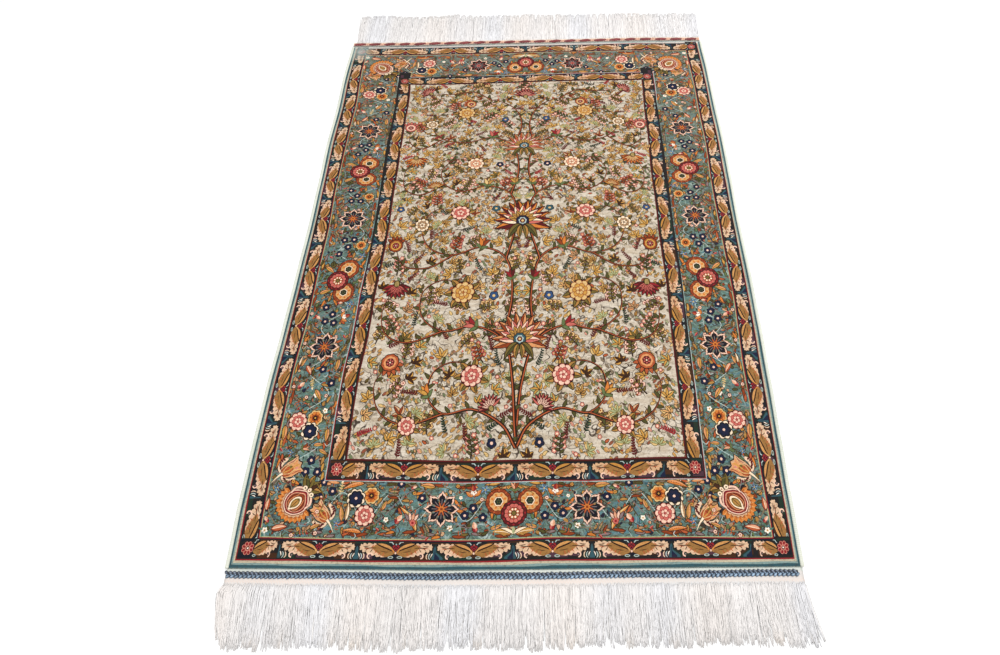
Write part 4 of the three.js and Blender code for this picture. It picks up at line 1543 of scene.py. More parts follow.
def makeSilkDyeAndSheen():
    # uneven dye and the lie of the yarn: slow bands of dye across, patches of painted sheen that lighten
    # and darken the colour as the yarn's lie turns, and fine flecks. The colour is multiplied by 1 and the
    # three noises' swings about their middle values
    tree, given, out = newGroup("silkDyeAndSheen", {"Bands": 0.1, "Flecks": 0.2, "Fleck Scale": 500}, ("Fleck",))
    bands = stretched(tree, given["Place"], 9, (1, 9, 1), 3, 0.6)
    # patches: painted sheen, lighter and darker where the yarn lies another way
    patches = stretched(tree, given["Place"], 7, (1, 0.8, 1), 2)
    fleck = noise(tree, given["Place"], given["Fleck Scale"], 1)["Fac"]

    def swing(value, amount):
        return product(tree, maths(tree, "SUBTRACT", value, 0.5), amount)
    total = maths(tree, "ADD", swing(bands, given["Bands"]), swing(fleck, given["Flecks"]))
    total = maths(tree, "ADD", maths(tree, "ADD", total, swing(patches, 0.16)), 1)
    toned = vectors(tree, "MULTIPLY", {0: given["Color"], 1: total})[0]
    fill(out, tree, {"Color": toned, "Fleck": fleck})
    return tree


silkDyeAndSheen = makeSilkDyeAndSheen()


def newMaterial(name):
    material = bpy.data.materials.new(name)
    material.use_nodes = True
    tree = material.node_tree
    tree.nodes.clear()
    shader = tree.nodes.new("ShaderNodeBsdfPrincipled")
    node(tree, "OutputMaterial", {0: shader.outputs[0]})
    return material, tree, shader, node(tree, "TexCoord", {}).outputs["Object"]


def grouped(tree, group, colour, place, amounts={}):
    return node(tree, "Group", {"Color": colour, "Place": place, **amounts}, node_tree=group).outputs


def curling(tree, place, scale, shift, width, strength):
    # lines where a soft noise crosses its middle value, as a share from 0 to the strength
    shifted = vectors(tree, "ADD", {0: place, 1: (shift, shift, 0)})[0]
    soft = noise(tree, shifted, scale, 0.6, 0.7)["Fac"]
    off = maths(tree, "ABSOLUTE", maths(tree, "SUBTRACT", soft, 0.5))
    return ramp(tree, off, strength, 0, width * 0.6, width * 1.2)


def cellNoise(tree, place, scale, randomness):
    # flat cells, and the three shares that are drawn for each
    inputs = {"Vector": place, "Scale": scale, "Randomness": randomness}
    cells = node(tree, "TexVoronoi", inputs, voronoi_dimensions="2D").outputs
    return cells, node(tree, "SeparateColor", {0: cells["Color"]}).outputs


def inCells(tree, colour, cells, sizes, present, rimWidth, tones):
    # a small shape in each cell, as far from the cell's point as its size, with a dark rim. Its
    # size is a share of the cell's between the sizes, and it is left out where present is 0
    size = maths(tree, "SUBTRACT", product(tree, ramp(tree, *sizes), present), 0.12)
    rim = maths(tree, "GREATER_THAN", maths(tree, "ADD", size, rimWidth), cells["Distance"])
    body = maths(tree, "GREATER_THAN", size, cells["Distance"])
    return mix(tree, product(tree, body, 0.92), mix(tree, product(tree, rim, 0.95), colour, "soil"), tones)


def makeSmallTracery():
    # what is too fine for the net on the border's ground: streaks of close shades, curling lines
    # and small buds in the cells of a bent cell noise, thicker in some patches than in others
    tree, given, out = newGroup("smallTracery", {})
    place = given["Place"]
    shades = picked(tree, stretched(tree, place, 34, (1, 3.6, 1), 2), (
        (0, "tealBlue"), (0.4, "teal"), (0.46, "tealLight"), (0.51, "slate"), (0.55, "teal"),
        (0.6, "tealGreen"), (0.645, "sage"), (0.68, "mauve"),
    ))
    colour = mix(tree, 0.8, given["Color"], shades)
    patch = stretched(tree, place, 19, (1, 1, 1), 1)
    busy, calm = ramp(tree, patch, 0, 1, 0.44, 0.54), ramp(tree, patch, 1, 0.25, 0.4, 0.5)
    for scale, shift, width, dye, strength, where in (
        (56, 0, 0.028, "soil", 0.8, busy), (44, 3, 0.02, "mist", 0.65, calm),
        (66, 7, 0.024, "umber", 0.75, busy), (30, 11, 0.014, "soil", 0.6, calm),
    ):
        lines = product(tree, curling(tree, place, scale, shift, width, strength), where)
        colour = mix(tree, lines, colour, dye)
    pull = vectors(tree, "SCALE", {0: noise(tree, place, 70, 1)["Color"], "Scale": 0.011})[0]
    cells, pick = cellNoise(tree, vectors(tree, "ADD", {0: place, 1: pull})[0], 96, 1)
    buds = picked(tree, pick[0], (
        (0, "ochre"), (0.2, "moss"), (0.36, "rust"), (0.5, "tan"), (0.62, "navy"), (0.72, "fawn"),
        (0.84, "leafGreen"),
    ))
    often = maths(tree, "ADD", pick[2], product(tree, busy, 0.35))
    present = maths(tree, "GREATER_THAN", often, 0.82)
    fill(out, tree, {"Color": inCells(tree, colour, cells, (pick[1], 0.3, 0.48), present, 0.12, buds)})
    return tree


def makeSmallFoliage():
    # thickets on the field's ground: thin twigs, and leaves in two layers of stretched cells that
    # are turned apart, left out where a soft noise is low
    tree, given, out = newGroup("smallFoliage", {})
    place, colour = given["Place"], given["Color"]
    patch = stretched(tree, place, 15, (1, 1.2, 1), 1.5)
    for scale, shift, strength in ((40, 2, 1), (62, 9, 0.75)):
        lines = curling(tree, place, scale, shift, 0.018, strength)
        colour = mix(tree, product(tree, lines, ramp(tree, patch, 0, 1, 0.42, 0.5)), colour, "soil")
    for turn, scale, shift, tones in (
        (0.75, 112, 0, (
            (0, "ochre"), (0.2, "straw"), (0.38, "olive"), (0.52, "gold"), (0.68, "honey"), (0.86, "rust"),
        )),
        (-0.6, 128, 4, (
            (0, "honey"), (0.18, "paleGreen"), (0.34, "leafGreen"), (0.5, "gold"), (0.7, "taupe"),
            (0.88, "pink"),
        )),
    ):
        inputs = {"Vector": place, "Angle": turn}
        turned = node(tree, "VectorRotate", inputs, rotation_type="Z_AXIS").outputs[0]
        inputs = {"Vector": turned, "Location": (shift, shift, 0), "Scale": (1, 0.5, 1)}
        cells, pick = cellNoise(tree, node(tree, "Mapping", inputs).outputs[0], scale, 0.9)
        crowd = stretched(tree, cells["Position"], 19, (1, 2, 1), 1.5)
        often = maths(tree, "ADD", crowd, ramp(tree, pick[2], -0.05, 0.05))
        present = maths(tree, "GREATER_THAN", often, 0.52)
        leaves = picked(tree, pick[0], tones)
        colour = inCells(tree, colour, cells, (pick[1], 0.34, 0.46), present, 0.09, leaves)
    fill(out, tree, {"Color": colour})
    return tree


smallTracery, smallFoliage = makeSmallTracery(), makeSmallFoliage()


def relief(tree, height, strength, distance):
    return node(tree, "Bump", {"Height": height, "Strength": strength, "Distance": distance}).outputs[0]


def makePileMaterial():
    # knotted silk: the tint, tracery on the border's open ground with painted sheen that dulls it towards
    # the far end, foliage and close shades on the field's, a worn corner, uneven dye with painted sheen,
    # and rows of knots
    material, tree, shader, place = newMaterial("knottedSilk")
    tint = node(tree, "Attribute", {}, attribute_name="tint").outputs
    fine = grouped(tree, smallTracery, tint["Color"], place)["Color"]
    inBorder = maths(tree, "GREATER_THAN", tint["Alpha"], 0.75)
    inField = maths(tree, "SUBTRACT", maths(tree, "GREATER_THAN", tint["Alpha"], 0.25), inBorder)
    along = node(tree, "SeparateXYZ", {0: place}).outputs[1]
    # painted sheen: the border's open ground turns duller and browner towards the far end, as the pile's
    # sheen changes along the rug
    sheenDulled = mix(tree, ramp(tree, along, 0, 0.34, -0.1, 0.66), fine, "taupe")
    colour = mix(tree, inBorder, tint["Color"], sheenDulled)
    cloudy = stretched(tree, place, 30, (1, 4, 1), 3)
    shade = mix(tree, ramp(tree, cloudy, 0, 1, 0.35, 0.65), "sandDark", "sandLight")
    leafy = grouped(tree, smallFoliage, shade, place)["Color"]
    colour = mix(tree, product(tree, inField, 0.92), colour, leafy)
    fromCorner = vectors(tree, "DISTANCE", {0: place, 1: (-0.478, 0.676, 0.004)})[1]
    patchy = stretched(tree, place, 26, (1, 1, 1), 4)
    worn = product(tree, ramp(tree, fromCorner, 1.3, 0, 0.008, 0.046), patchy, True)
    colour = mix(tree, worn, colour, "mist")
    dusty = stretched(tree, place, 190, (1, 1.6, 1), 2)
    colour = mix(tree, ramp(tree, dusty, 0, 0.42, 0.5, 0.75), colour, "umber")
    toned = grouped(tree, silkDyeAndSheen, colour, place, {"Bands": 0.2, "Flecks": 0.62, "Fleck Scale": 560})
    inputs = {"Vector": place, "Scale": 160, "Distortion": 1.2, "Detail": 2, "Detail Scale": 3}
    rows = node(tree, "TexWave", inputs, bands_direction="Y").outputs["Fac"]
    inputs = {0: rows, 1: 0.25, 2: noise(tree, place, 90, 3)["Fac"]}
    height = node(tree, "Math", inputs, operation="MULTIPLY_ADD").outputs[0]
    fill(shader, tree, {
        "Base Color": toned["Color"], "Normal": relief(tree, height, 0.4, 0.0014),
        "Roughness": ramp(tree, toned["Fleck"], 0.55, 0.8), "Sheen Weight": 0.02, "Sheen Roughness": 0.4,
        "Specular IOR Level": 0.1,
    })
    return material


def makeYarnMaterial(name, bands, flecks, scale, strength, roughness, loose=False):
    # loose or wrapped yarn: the tint with uneven dye and painted sheen, and fibres in relief. Loose yarn
    # has short dark marks of painted shade in the gaps between its kinks, and more of them where the tint's
    # alpha is high
    material, tree, shader, place = newMaterial(name)
    tint = node(tree, "Attribute", {}, attribute_name="tint").outputs
    amounts = {"Bands": bands, "Flecks": flecks, "Fleck Scale": scale}
    toned = grouped(tree, silkDyeAndSheen, tint["Color"], place, amounts)
    colour = toned["Color"]
    if loose:
        # painted shade: short dark flecks where the kinks leave gaps, stronger where the tint's alpha is
        # high
        kinks = stretched(tree, place, 560, (1, 0.4, 0), 1.5)
        spread = stretched(tree, place, 30, (1, 0.7, 0), 1)
        gap = product(tree, ramp(tree, kinks, 0, 1, 0.54, 0.66), ramp(tree, spread, 0.1, 1, 0.42, 0.62))
        often = maths(tree, "ADD", product(tree, tint["Alpha"], 0.5), 0.08)
        colour = mix(tree, product(tree, gap, often), colour, "kinkShadow")
    fibres = noise(tree, place, scale * 1.7, 2)["Fac"]
    fill(shader, tree, {
        "Base Color": colour, "Normal": relief(tree, fibres, strength, 0.0006),
        "Roughness": ramp(tree, toned["Fleck"], roughness - 0.1, roughness + 0.12), "Sheen Weight": 0.15,
        "Specular IOR Level": 0.15 if loose else 0.3,
    })
    return material


knottedSilk = makePileMaterial()
looseSilk = makeYarnMaterial("looseSilk", 0.04, 0.1, 700, 0.2, 0.6, True)
flatWeb = makeYarnMaterial("flatWovenSilk", 0.06, 0.2, 900, 0.4, 0.7)
overcastSilk = makeYarnMaterial("overcastSilk", 0.2, 0.3, 420, 0.3, 0.62)
braidYarn = makeYarnMaterial("braidYarn", 0.12, 0.3, 800, 0.35, 0.65)

for name, box in panels.items():
    makePanel(name, box, knottedSilk)
print("pile done")


# Tubes, and shapes put together

def gridFaces(rows, columns):
    # two triangles for each cell of a grid of rows and columns that is closed round its rows
    row = np.arange(rows - 1)[:, None] * columns
    column = np.arange(columns)[None, :]
    after = (column + 1) % columns
    a, b, c, d = row + column, row + after, row + columns + after, row + columns + column
    return np.concatenate([np.stack([a, b, c], -1).reshape(-1, 3), np.stack([a, c, d], -1).reshape(-1, 3)])


def tube(rings):
    # rings of points, anticlockwise seen from the far end, joined and capped
    stations, corners = rings.shape[:2]
    faces = gridFaces(stations, corners)
    fanned = np.stack([np.zeros(corners - 2, int), np.arange(1, corners - 1), np.arange(2, corners)], 1)
    last = (stations - 1) * corners
    return rings.reshape(-1, 3), np.vstack([faces, fanned[:, ::-1], fanned + last])


def together(shapes):
    # several (points, faces) as one
    points = np.vstack([shape[0] for shape in shapes])
    counts = np.cumsum([0] + [len(shape[0]) for shape in shapes])
    return points, np.vstack([shape[1] + count for shape, count in zip(shapes, counts)])


def repeated(points, faces, count):
    # points shaped (count, n, 3) that all share the same faces
    total = points.shape[1]
    return points.reshape(-1, 3), (faces[None] + (np.arange(count) * total)[:, None, None]).reshape(-1, 3)


def blend(first, second, share):
    return first * (1 - share) + second * share


# The overcast cords down the sides

binding = {
    "width": 7,
    "thickness": 4.8,
    "wrapPitch": 3.4,
    "wrapDepth": 0.09,  # how far the valley between two wraps sinks, as a share
    "stations": 3,  # for each wrap
    # ivory is the cord's own colour; shade is a greyer tone laid on evenly a little, in random patches, and
    # as painted shade in the valleys between wraps
    "ivory": (228, 226, 212),
    "shade": (194, 200, 186),
}
# share of the width outwards and of the thickness up, from the pile's foot round to its top
bindingSection = np.array(
    [(0, 0.02), (0.45, 0), (0.85, 0.06), (1, 0.42), (0.93, 0.74), (0.68, 0.95), (0.35, 1), (0, 0.78)]
)


def makeBinding(name, replaced, side):
    # the section carried along the side; the wraps swell it by a sine's size that slants round it
    count = int(rugLength / binding["wrapPitch"] * binding["stations"])
    along = np.linspace(-rugLength / 2, rugLength / 2, count)[:, None]
    slant = np.linspace(0, 0.6, len(bindingSection))[None, :]
    swell = np.abs(np.sin(math.pi * (along / binding["wrapPitch"] + slant)))
    grow = 1 - binding["wrapDepth"] * (1 - swell)
    outwards = bindingSection[:, 0] * binding["width"] * grow
    up = bindingSection[:, 1] * binding["thickness"] * grow
    rings = laid(np.full_like(up, side * rugWidth / 2), np.broadcast_to(along, up.shape), up)
    rings[..., 0] += side * (rug["seam"] + outwards) * mm
    if side < 0:
        rings = rings[:, ::-1]
    points, faces = tube(rings)
    piece = addPiece(name, points, faces[:, ::-1], overcastSilk, (replaced,))
    patches = np.arange(0, count + 40, 40)
    rng = np.random.default_rng(31 + side)
    patch = np.interp(np.arange(count), patches, rng.uniform(0, 1, len(patches)))
    # painted shade: the cord goes towards its shade colour in the valleys between wraps; the even share and
    # the patches are real uneven tone
    share = (0.25 + 0.5 * (1 - swell) * np.ones_like(up) + 0.35 * patch[:, None]).clip(0, 1)
    if side < 0:
        share = share[:, ::-1]
    colours = blend(linear(binding["ivory"]), linear(binding["shade"]), share[..., None])
    paint(piece, colours.reshape(-1, 3)[faces[:, 0]])


makeBinding("overcast_left", "selvedge_left", -1)
makeBinding("overcast_right", "selvedge_right", 1)
print("bindings done")


# Both ends: flat web, loose fringe and stitched braid, with distances from the pile's end

webThickness = 1.5
webHalfWidth = 503
ends = {
    "near": {
        "outwards": -1, "webDepth": 33, "reach": 122, "slope": -2.5, "combing": 0.5, "seed": 41,
        "from": -504, "to": 503, "braidFrom": 3.8, "leftFlare": 11, "rightFlare": 13, "flareReach": 52,
        "inwards": 15, "kinkShadowAmount": 1.0,
        "peach": (16, 23),
    },
    "far": {
        "outwards": 1, "webDepth": 23, "reach": 145, "slope": -7, "combing": -0.3, "seed": 42,
        "from": -492, "to": 503, "braidFrom": 4, "leftFlare": 5, "rightFlare": 6, "flareReach": 30,
        "inwards": 0, "kinkShadowAmount": 0.35,
        "peach": (1, 18),
    },
}
# under is paler than white: painted light on the broad strands, which lie in the fine strands' shade
silk = {
    "white": (232, 228, 226), "cool": (229, 228, 230), "warm": (233, 227, 223), "under": (240, 237, 235),
    "beige": (226, 204, 178), "web": (217, 211, 206), "peach": (222, 208, 199), "band": (208, 212, 216),
    "gap": (204, 208, 200),
}


def beyond(end, across, outwards, height):
    # a place on an end of the rug: across it, and outwards from the end of the pile
    return laid(across, end["outwards"] * (rugLength / 2 + outwards), height)


def makeWeb(label, end):
    # a woven strip: its upper face rises over each weft, and its edges waver
    columns, rows = 202, 9
    across = np.linspace(-webHalfWidth, webHalfWidth, columns)[None, :]
    share = np.linspace(0, 1, rows)[:, None]
    outwards = rug["seam"] + share * (end["webDepth"] - rug["seam"]) + 0 * across
    outwards[-1] += 0.35 * np.sin(across[0] / 5)
    weave = 0.1 * np.sin(across / 17 + share * 2)
    high = beyond(end, across + 0 * share, outwards, webThickness - 0.14 + weave)
    low = beyond(end, across + 0 * share, outwards, 0.0 * weave)
    rings = np.concatenate([high, low[::-1]], 0).transpose(1, 0, 2)
    points, faces = tube(rings)
    if end["outwards"] < 0:
        faces = faces[:, ::-1]
    piece = addPiece("web_" + label, points, faces, flatWeb, ("fringe_" + label,))
    where = np.concatenate([outwards, outwards[::-1]]).T.ravel()[faces[:, 0]]
    place = np.repeat(across[0], 2 * rows)[faces[:, 0]]
    first, last = end["peach"]
    colours = linear(silk["web"]) + np.zeros((len(faces), 3))
    for start, stop, tone, phase in (
        (first, last, "peach", 0.6), (last + 1, last + 6, "band", 3.4),
        (-5, end["braidFrom"] + 2, "gap", None),
    ):
        share = np.clip((where - start) / 2, 0, 1) * np.clip((stop - where) / 2 + 1, 0, 1)
        if phase is not None:
            share = share * (0.6 + 0.4 * np.sin(place / 78 + phase))
        colours = blend(colours, linear(silk[tone]), share[:, None])
    paint(piece, colours)
    return piece


strandLayers = [
    {  # broad flat strands that fill the depth of the fringe
        "count": 270, "segments": 6, "halfWidth": 2.7, "halfHeight": 0.3, "curl": 0.3, "gather": 0.2,
        "low": 0.5, "spread": 0.5, "short": 5, "rooted": 3, "onWeb": 0,
    },
    {  # fine strands over them
        "count": 1400, "segments": 9, "halfWidth": 0.95, "halfHeight": 0.2, "curl": 1.2, "gather": 0.3,
        "low": 1.1, "spread": 0.55, "short": 0, "rooted": 7, "onWeb": 1.1,
    },
]
rootInside = 3.0  # a strand starts this far and up to its layer's rooted inside the web's edge
clump = 13  # mean width of the locks that the tips gather in


def strandRings(end, layer, rng):
    # three-sided tubes, straight out, combed sideways as in the solids, with soft curls. Their
    # tips gather into locks, and at the row's two ends they spread outwards
    count, segments = layer["count"], layer["segments"]

    def drawn(low, high):
        return rng.uniform(low, high, count)[:, None]
    root = np.linspace(end["from"] + 1, end["to"] - 1, count) + rng.uniform(-0.9, 0.9, count)
    edges = end["edges"]
    lock = np.clip(np.searchsorted(edges, root + rng.normal(0, 1.6, count)), 1, len(edges) - 1)
    lockMiddle = (edges[lock - 1] + edges[lock]) / 2
    toEdge = np.clip(np.abs(root - lockMiddle) / (edges[lock] - edges[lock - 1]) * 2, 0, 1.2)
    reach = end["reach"] + end["slope"] * root / 500 + 2 * np.sin(root / 37 + 1) + end["grown"][lock]
    reach = reach - 7 * toEdge**3 - rng.gamma(1.2, 1.7, count).clip(0, 11) + 2 - layer["short"]
    start = end["webDepth"] - rootInside - layer["rooted"] * rng.uniform(0, 1, count)
    t = np.linspace(0, 1, segments + 1)[None, :]
    wave = 5 * np.sin(root / 31) + 3.4 * np.sin(root / 13.5 + 1)
    fromLeft, fromRight = root - end["from"], end["to"] - root
    combed = (end["combing"] * wave + end["lean"][lock])[:, None] * t**1.7
    combed = combed + end["inwards"] * np.exp(-fromLeft / 160)[:, None] * t
    gather = (lockMiddle - root)[:, None] * layer["gather"] * t**3 * drawn(0.5, 1.2)
    turns, phase = drawn(14, 30), drawn(0, 6.3)
    curl = layer["curl"] * drawn(0.3, 1.0) * np.sin(t * turns + phase) * (0.4 + 0.8 * t)
    stray = layer["curl"] * rng.normal(0, 2.2, count)[:, None] * t**1.5
    flare = end["rightFlare"] * np.exp(-fromRight / end["flareReach"])[:, None] * t**1.3
    toLeft = end["leftFlare"] * np.exp(-fromLeft / end["flareReach"])[:, None]
    flare = flare - toLeft * (1 - np.exp(-14 * t))
    across = root[:, None] + combed + gather + curl + stray + flare
    outwards = start[:, None] + t * (reach - start)[:, None]
    swell = np.sin(math.pi * np.clip(t * 0.9 + 0.1, 0, 1)) ** 0.6
    height = layer["low"] * (0.5 + 0.5 * swell) + layer["spread"] * drawn(0, 1) * swell
    height = height + layer["onWeb"] * (1 - t) ** 6
    halfWide = layer["halfWidth"] * (1.08 - 0.5 * t**4) * drawn(0.75, 1.2)
    halfHigh = layer["halfHeight"] * (1.05 - 0.5 * t**3) + 0 * halfWide
    angles = np.radians([90, 210, 330])
    return beyond(
        end,
        across[..., None] + halfWide[..., None] * np.cos(angles),
        np.broadcast_to(outwards[..., None], (*outwards.shape, 3)),
        height[..., None] + halfHigh[..., None] * np.sin(angles),
    ), root, lock


def makeStrands(label, end):
    # both layers of an end's loose strands in one piece
    rng = np.random.default_rng(end["seed"])
    end["edges"] = np.cumsum(rng.uniform(0.3, 1.7, 120) * clump) - webHalfWidth - 14
    end["grown"], end["lean"] = rng.normal(0, 1.7, 120), rng.normal(0, 1.6, 120)
    beige = rng.uniform(0, 1, 120) < 0.2
    shapes, colours, kinkShadowAmounts = [], [], []
    for layer in strandLayers:
        rings, root, lock = strandRings(end, layer, rng)
        _, faces = tube(rings[0])
        points, faces = repeated(rings.reshape(len(root), -1, 3), faces, len(root))
        along = (faces[: len(faces) // len(root), 0] // 3 / layer["segments"]).clip(0, 1)
        slow = np.sin(root / 47 + end["seed"]) + 0.6 * np.sin(root / 19)
        cool, warm = np.clip(slow - 0.2, 0, 1)[:, None], np.clip(-slow - 0.2, 0, 1)[:, None]
        tone = linear(silk["white"]) * (1 - cool - warm)
        tone = tone + linear(silk["cool"]) * cool + linear(silk["warm"]) * warm
        tone = tone * rng.uniform(0.97, 1.03, len(root))[:, None]
        # the broad strands take the paler under tone, painted light against the shade they lie in
        if layer["short"]:
            tone = np.broadcast_to(linear(silk["under"]), tone.shape)
        browned = beige[lock] * rng.uniform(0.1, 0.6, len(root)) * (end["outwards"] < 0)
        mixed = (browned[:, None] * along[None, :] ** 6)[..., None]
        shapes.append((points, faces))
        colours.append(blend(tone[:, None, :], linear(silk["beige"]), mixed).reshape(-1, 3))
        kinkShadowAmounts.append(end["kinkShadowAmount"] * np.tile(along, len(root)))
    points, faces = together(shapes)
    if end["outwards"] > 0:
        faces = faces[:, ::-1]
    piece = addPiece("fringe_strands_" + label, points, faces, looseSilk, ("fringe_" + label,))
    paint(piece, np.vstack(colours), np.concatenate(kinkShadowAmounts))
    return piece


def lumps(end, centres, halfLong, halfWide, rise, turn, foot, sides=10):
    # domes with an oval foot, turned in degrees, each of three rings and closed
    angle = np.arange(sides) / sides * 2 * math.pi
    levels = np.array([(1.0, 0.0), (0.88, 0.62), (0.46, 0.96)])
    x = levels[:, :1] * np.cos(angle)
    y = levels[:, :1] * np.sin(angle)
    z = np.broadcast_to(levels[:, 1:], x.shape)
    flat = np.stack([x * halfLong, y * halfWide], -1).reshape(-1, 2)
    count = len(centres)
    turns = np.radians(np.broadcast_to(turn, count))
    spun = np.stack([
        flat[None, :, 0] * np.cos(turns)[:, None] - flat[None, :, 1] * np.sin(turns)[:, None],
        flat[None, :, 0] * np.sin(turns)[:, None] + flat[None, :, 1] * np.cos(turns)[:, None],
    ], -1) + centres[:, None, :2]
    high = foot + z.reshape(-1)[None, :] * np.broadcast_to(rise, count)[:, None]
    points = beyond(end, spun[..., 0], spun[..., 1], high)
    _, faces = tube(np.zeros((3, sides, 3)))
    level = np.minimum(faces.min(1) // sides, 2)
    points, faces = repeated(points, faces, count)
    if end["outwards"] < 0:
        faces = faces[:, ::-1]
    return points, faces, np.tile(level, count)


def strip(end, low, high, left, right, foot, top):
    # a flat ribbon under the stitches
    across = np.linspace(left, right, 120)
    section = np.array([(low, foot), (low + 0.6, top), (high - 0.6, top), (high, foot)])
    rings = beyond(
        end, across[:, None] + np.zeros(4), section[:, 0] + 0.5 * np.sin(across / 40)[:, None],
        section[:, 1] + np.zeros((120, 1)),
    )
    points, faces = tube(rings)
    return points, faces if end["outwards"] > 0 else faces[:, ::-1]


def stitches(end, x, y, size, rise, turns, kind, tones, shade=1.0, sides=10):
    # a row of domes, and the colours of their faces: a tone for each of a dome's three levels, darker at
    # the foot as painted shade and lighter on top as a painted highlight
    points, faces, level = lumps(end, np.stack([x, y], 1), *size, rise, turns, kind["foot"], sides)
    shades = np.repeat(np.broadcast_to(shade, len(x)), len(faces) // len(x))
    return (points, faces), np.array([linear(colour) for colour in tones])[level] * shades[:, None]


def addBraid(name, replaced, rows):
    points, faces = together([shape for shape, _ in rows])
    piece = addPiece(name, points, faces, braidYarn, (replaced,))
    paint(piece, np.vstack([colours for _, colours in rows]))
    return piece


chain = {
    "pitch": 7.62,
    "left": -505,
    "right": 497,
    "foot": 1.8,
    # bed: a dark tone, painted shade between the stitches
    "bed": (44, 48, 56),
    # each row's three tones run from a stitch's foot to its top: painted shade below, a painted highlight
    # above
    "inner": [(36, 42, 54), (74, 82, 96), (118, 128, 142)],
    "outer": [(48, 60, 78), (104, 126, 150), (150, 170, 186)],
}


def makeChainBraid(end):
    # two rows of slanting stitches, half a stitch out of step, with small ones between, on a dark bed that
    # paints the shade between them
    rng = np.random.default_rng(51)
    low, left, right, pitch = end["braidFrom"], chain["left"], chain["right"], chain["pitch"]
    count = int((right - left) / pitch)
    bed = strip(end, low + 1.4, low + 11, left + 3, right - 3, chain["foot"], 2.7)
    rows = [(bed, np.broadcast_to(linear(chain["bed"]), (len(bed[1]), 3)))]
    for row, (key, off, slant) in enumerate((("inner", 3.3, 38), ("outer", 9.0, -38))):
        x = left + (np.arange(count) + 0.4 + 0.5 * row) * pitch
        y = low + off + rng.normal(0, 0.22, count) + 0.5 * np.sin(x / 40)
        turns = slant + rng.normal(0, 6, count)
        rise = 2.3 + rng.uniform(-0.3, 0.5, count)
        shade = rng.uniform(0.7, 1.2, count) * (1 + 0.12 * np.sin(x / 57))
        rows.append(stitches(end, x, y, (4.6, 2.5), rise, turns, chain, chain[key], shade))
    x = left + (np.arange(count) + 0.62) * pitch
    y = low + 6.2 + 0.5 * np.sin(x / 40)
    rows.append(stitches(end, x, y, (1.9, 1.5), 2.4, 0, chain, chain["outer"], sides=6))
    return addBraid("chain_braid", "braid_near", rows)


dash = {
    "dashes": 23,
    "foot": 1.8,
    # each row's three tones run from a stitch's foot to its top: painted shade below, a painted highlight
    # above
    "red": [(70, 24, 26), (108, 34, 38), (132, 56, 54)],
    "pink": [(186, 120, 98), (214, 158, 132), (228, 190, 166)],
    "cream": [(206, 176, 150), (226, 202, 180), (230, 214, 198)],
    "grey": [(104, 96, 90), (154, 142, 130), (190, 176, 164)],
}


def makeDashBraid(end):
    # a wrapped cord: rows of small pale wraps, and slanting dark stitches that make the dashes
    rng = np.random.default_rng(52)
    low, count = end["braidFrom"], dash["dashes"]
    pitch = 2 * webHalfWidth / count
    rows = []
    for off, key, slant in (
        (2.4, "grey", 18), (6.4, "pink", -14), (10.6, "pink", 18), (14.6, "cream", -14)
    ):
        x = np.arange(-webHalfWidth + 2, webHalfWidth, 5.0)
        y = low + off + rng.normal(0, 0.2, len(x))
        rise = 1.6 + rng.uniform(-0.2, 0.3, len(x))
        turns = slant + rng.normal(0, 4, len(x))
        shade = rng.uniform(0.86, 1.08, len(x))
        rows.append(stitches(end, x, y, (3.6, 2.4), rise, turns, dash, dash[key], shade, 6))
    for shift, off, size in (
        (0.18, 7.0, (8.0, 5.0)), (0.32, 7.8, (12.0, 6.8)), (0.48, 8.6, (12.0, 6.8)),
        (0.64, 9.0, (8.0, 5.0)),
    ):
        x = -webHalfWidth + (np.arange(count) + shift) * pitch + rng.normal(0, 0.8, count)
        y = low + off + rng.normal(0, 0.3, count)
        rise = 2.7 + rng.uniform(-0.15, 0.3, count)
        turns = rng.normal(5, 3, count)
        shade = rng.uniform(0.75, 1.15, count)
        rows.append(stitches(end, x, y, size, rise, turns, dash, dash["red"], shade, 12))
    return addBraid("dash_braid", "braid_far", rows)


for label, end in ends.items():
    web, strands = makeWeb(label, end), makeStrands(label, end)
    braid = makeChainBraid(end) if label == "near" else makeDashBraid(end)
print("ends done:", sum(len(piece.data.polygons) for piece in shown.values()), "triangles in all")


# Stage, camera and light

def makeFloor():
    size = 12  # half its side, in metres
    mesh = bpy.data.meshes.new("floor")
    mesh.from_pydata(
        [(-size, -size, 0), (size, -size, 0), (size, size, 0), (-size, size, 0)], [], [(0, 1, 2, 3)]
    )
    floor = bpy.data.objects.new("floor", mesh)
    floor.location.z = -0.0002  # clear of the rug's underside
    bpy.context.scene.collection.objects.link(floor)
    material, tree, shader, place = newMaterial("paleFloor")
    pale, paler = (0.95, 0.95, 0.95, 1), (0.97, 0.97, 0.97, 1)
    tone = mix(tree, stretched(tree, place, 0.8, (1, 1, 1)), pale, paler)
    fill(shader, tree, {"Base Color": tone, "Roughness": 0.9})
    mesh.materials.append(material)


makeFloor()

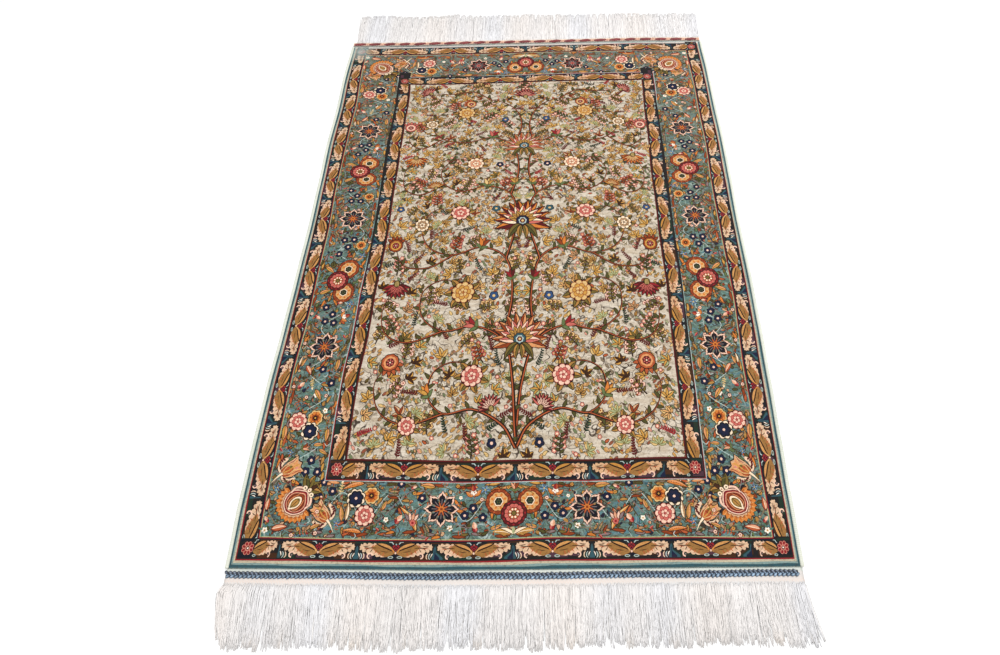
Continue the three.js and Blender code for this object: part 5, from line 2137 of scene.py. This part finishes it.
cameraPlan = {
    "place": (0.075, -0.839, 1.098),  # metres from the middle of the pile
    "down": 61.0,
    "yaw": -1.49,
    "roll": -1.88,
    "focal": 586,  # in pixels of the picture
    "centre": (545.9, 327.4),  # where the optical axis meets the picture
    "picture": (1000, 655),
}


def makeCamera():
    # looks down and a little left, rolled a little, with its axis right of the picture's middle
    pitch, yaw, roll = (math.radians(cameraPlan[key]) for key in ("down", "yaw", "roll"))
    forward = Vector((math.sin(yaw) * math.cos(pitch), math.cos(yaw) * math.cos(pitch), -math.sin(pitch)))
    right = Vector((math.cos(yaw), -math.sin(yaw), 0))
    down = forward.cross(right)
    across = right * math.cos(roll) - down * math.sin(roll)
    below = right * math.sin(roll) + down * math.cos(roll)
    data = bpy.data.cameras.new("camera")
    (x, y), (width, height) = cameraPlan["centre"], cameraPlan["picture"]
    data.sensor_width = 36
    data.lens = cameraPlan["focal"] * data.sensor_width / width
    data.shift_x = (width / 2 - x) / width
    data.shift_y = (y - height / 2) / width
    data.clip_end = 60
    camera = bpy.data.objects.new("camera", data)
    turn = Matrix((across, -below, -forward)).transposed()
    camera.matrix_world = Matrix.Translation(Vector(cameraPlan["place"]) + Vector(middle)) @ turn.to_4x4()
    bpy.context.scene.collection.objects.link(camera)
    bpy.context.scene.camera = camera


makeCamera()

studio = {
    "sky": 0.72,
    "lamps": [  # place, size and power
        ((1.5, 1.1, 2.7), 2.6, 76),
        ((-1.4, -1.4, 2.6), 2.2, 27),
    ],
}


def makeLights():
    world = bpy.data.worlds.new("studio")
    world.use_nodes = True
    background = world.node_tree.nodes["Background"]
    background.inputs[0].default_value = (1, 1, 1, 1)
    background.inputs[1].default_value = studio["sky"]
    bpy.context.scene.world = world
    for index, (place, size, power) in enumerate(studio["lamps"]):
        light = bpy.data.lights.new(f"softbox_{index}", "AREA")
        light.size = size
        light.energy = power
        lamp = bpy.data.objects.new(f"softbox_{index}", light)
        lamp.location = place
        lamp.rotation_euler = (-Vector(place)).to_track_quat("-Z", "Y").to_euler()
        bpy.context.scene.collection.objects.link(lamp)
    bpy.context.scene.view_settings.view_transform = "Standard"


makeLights()
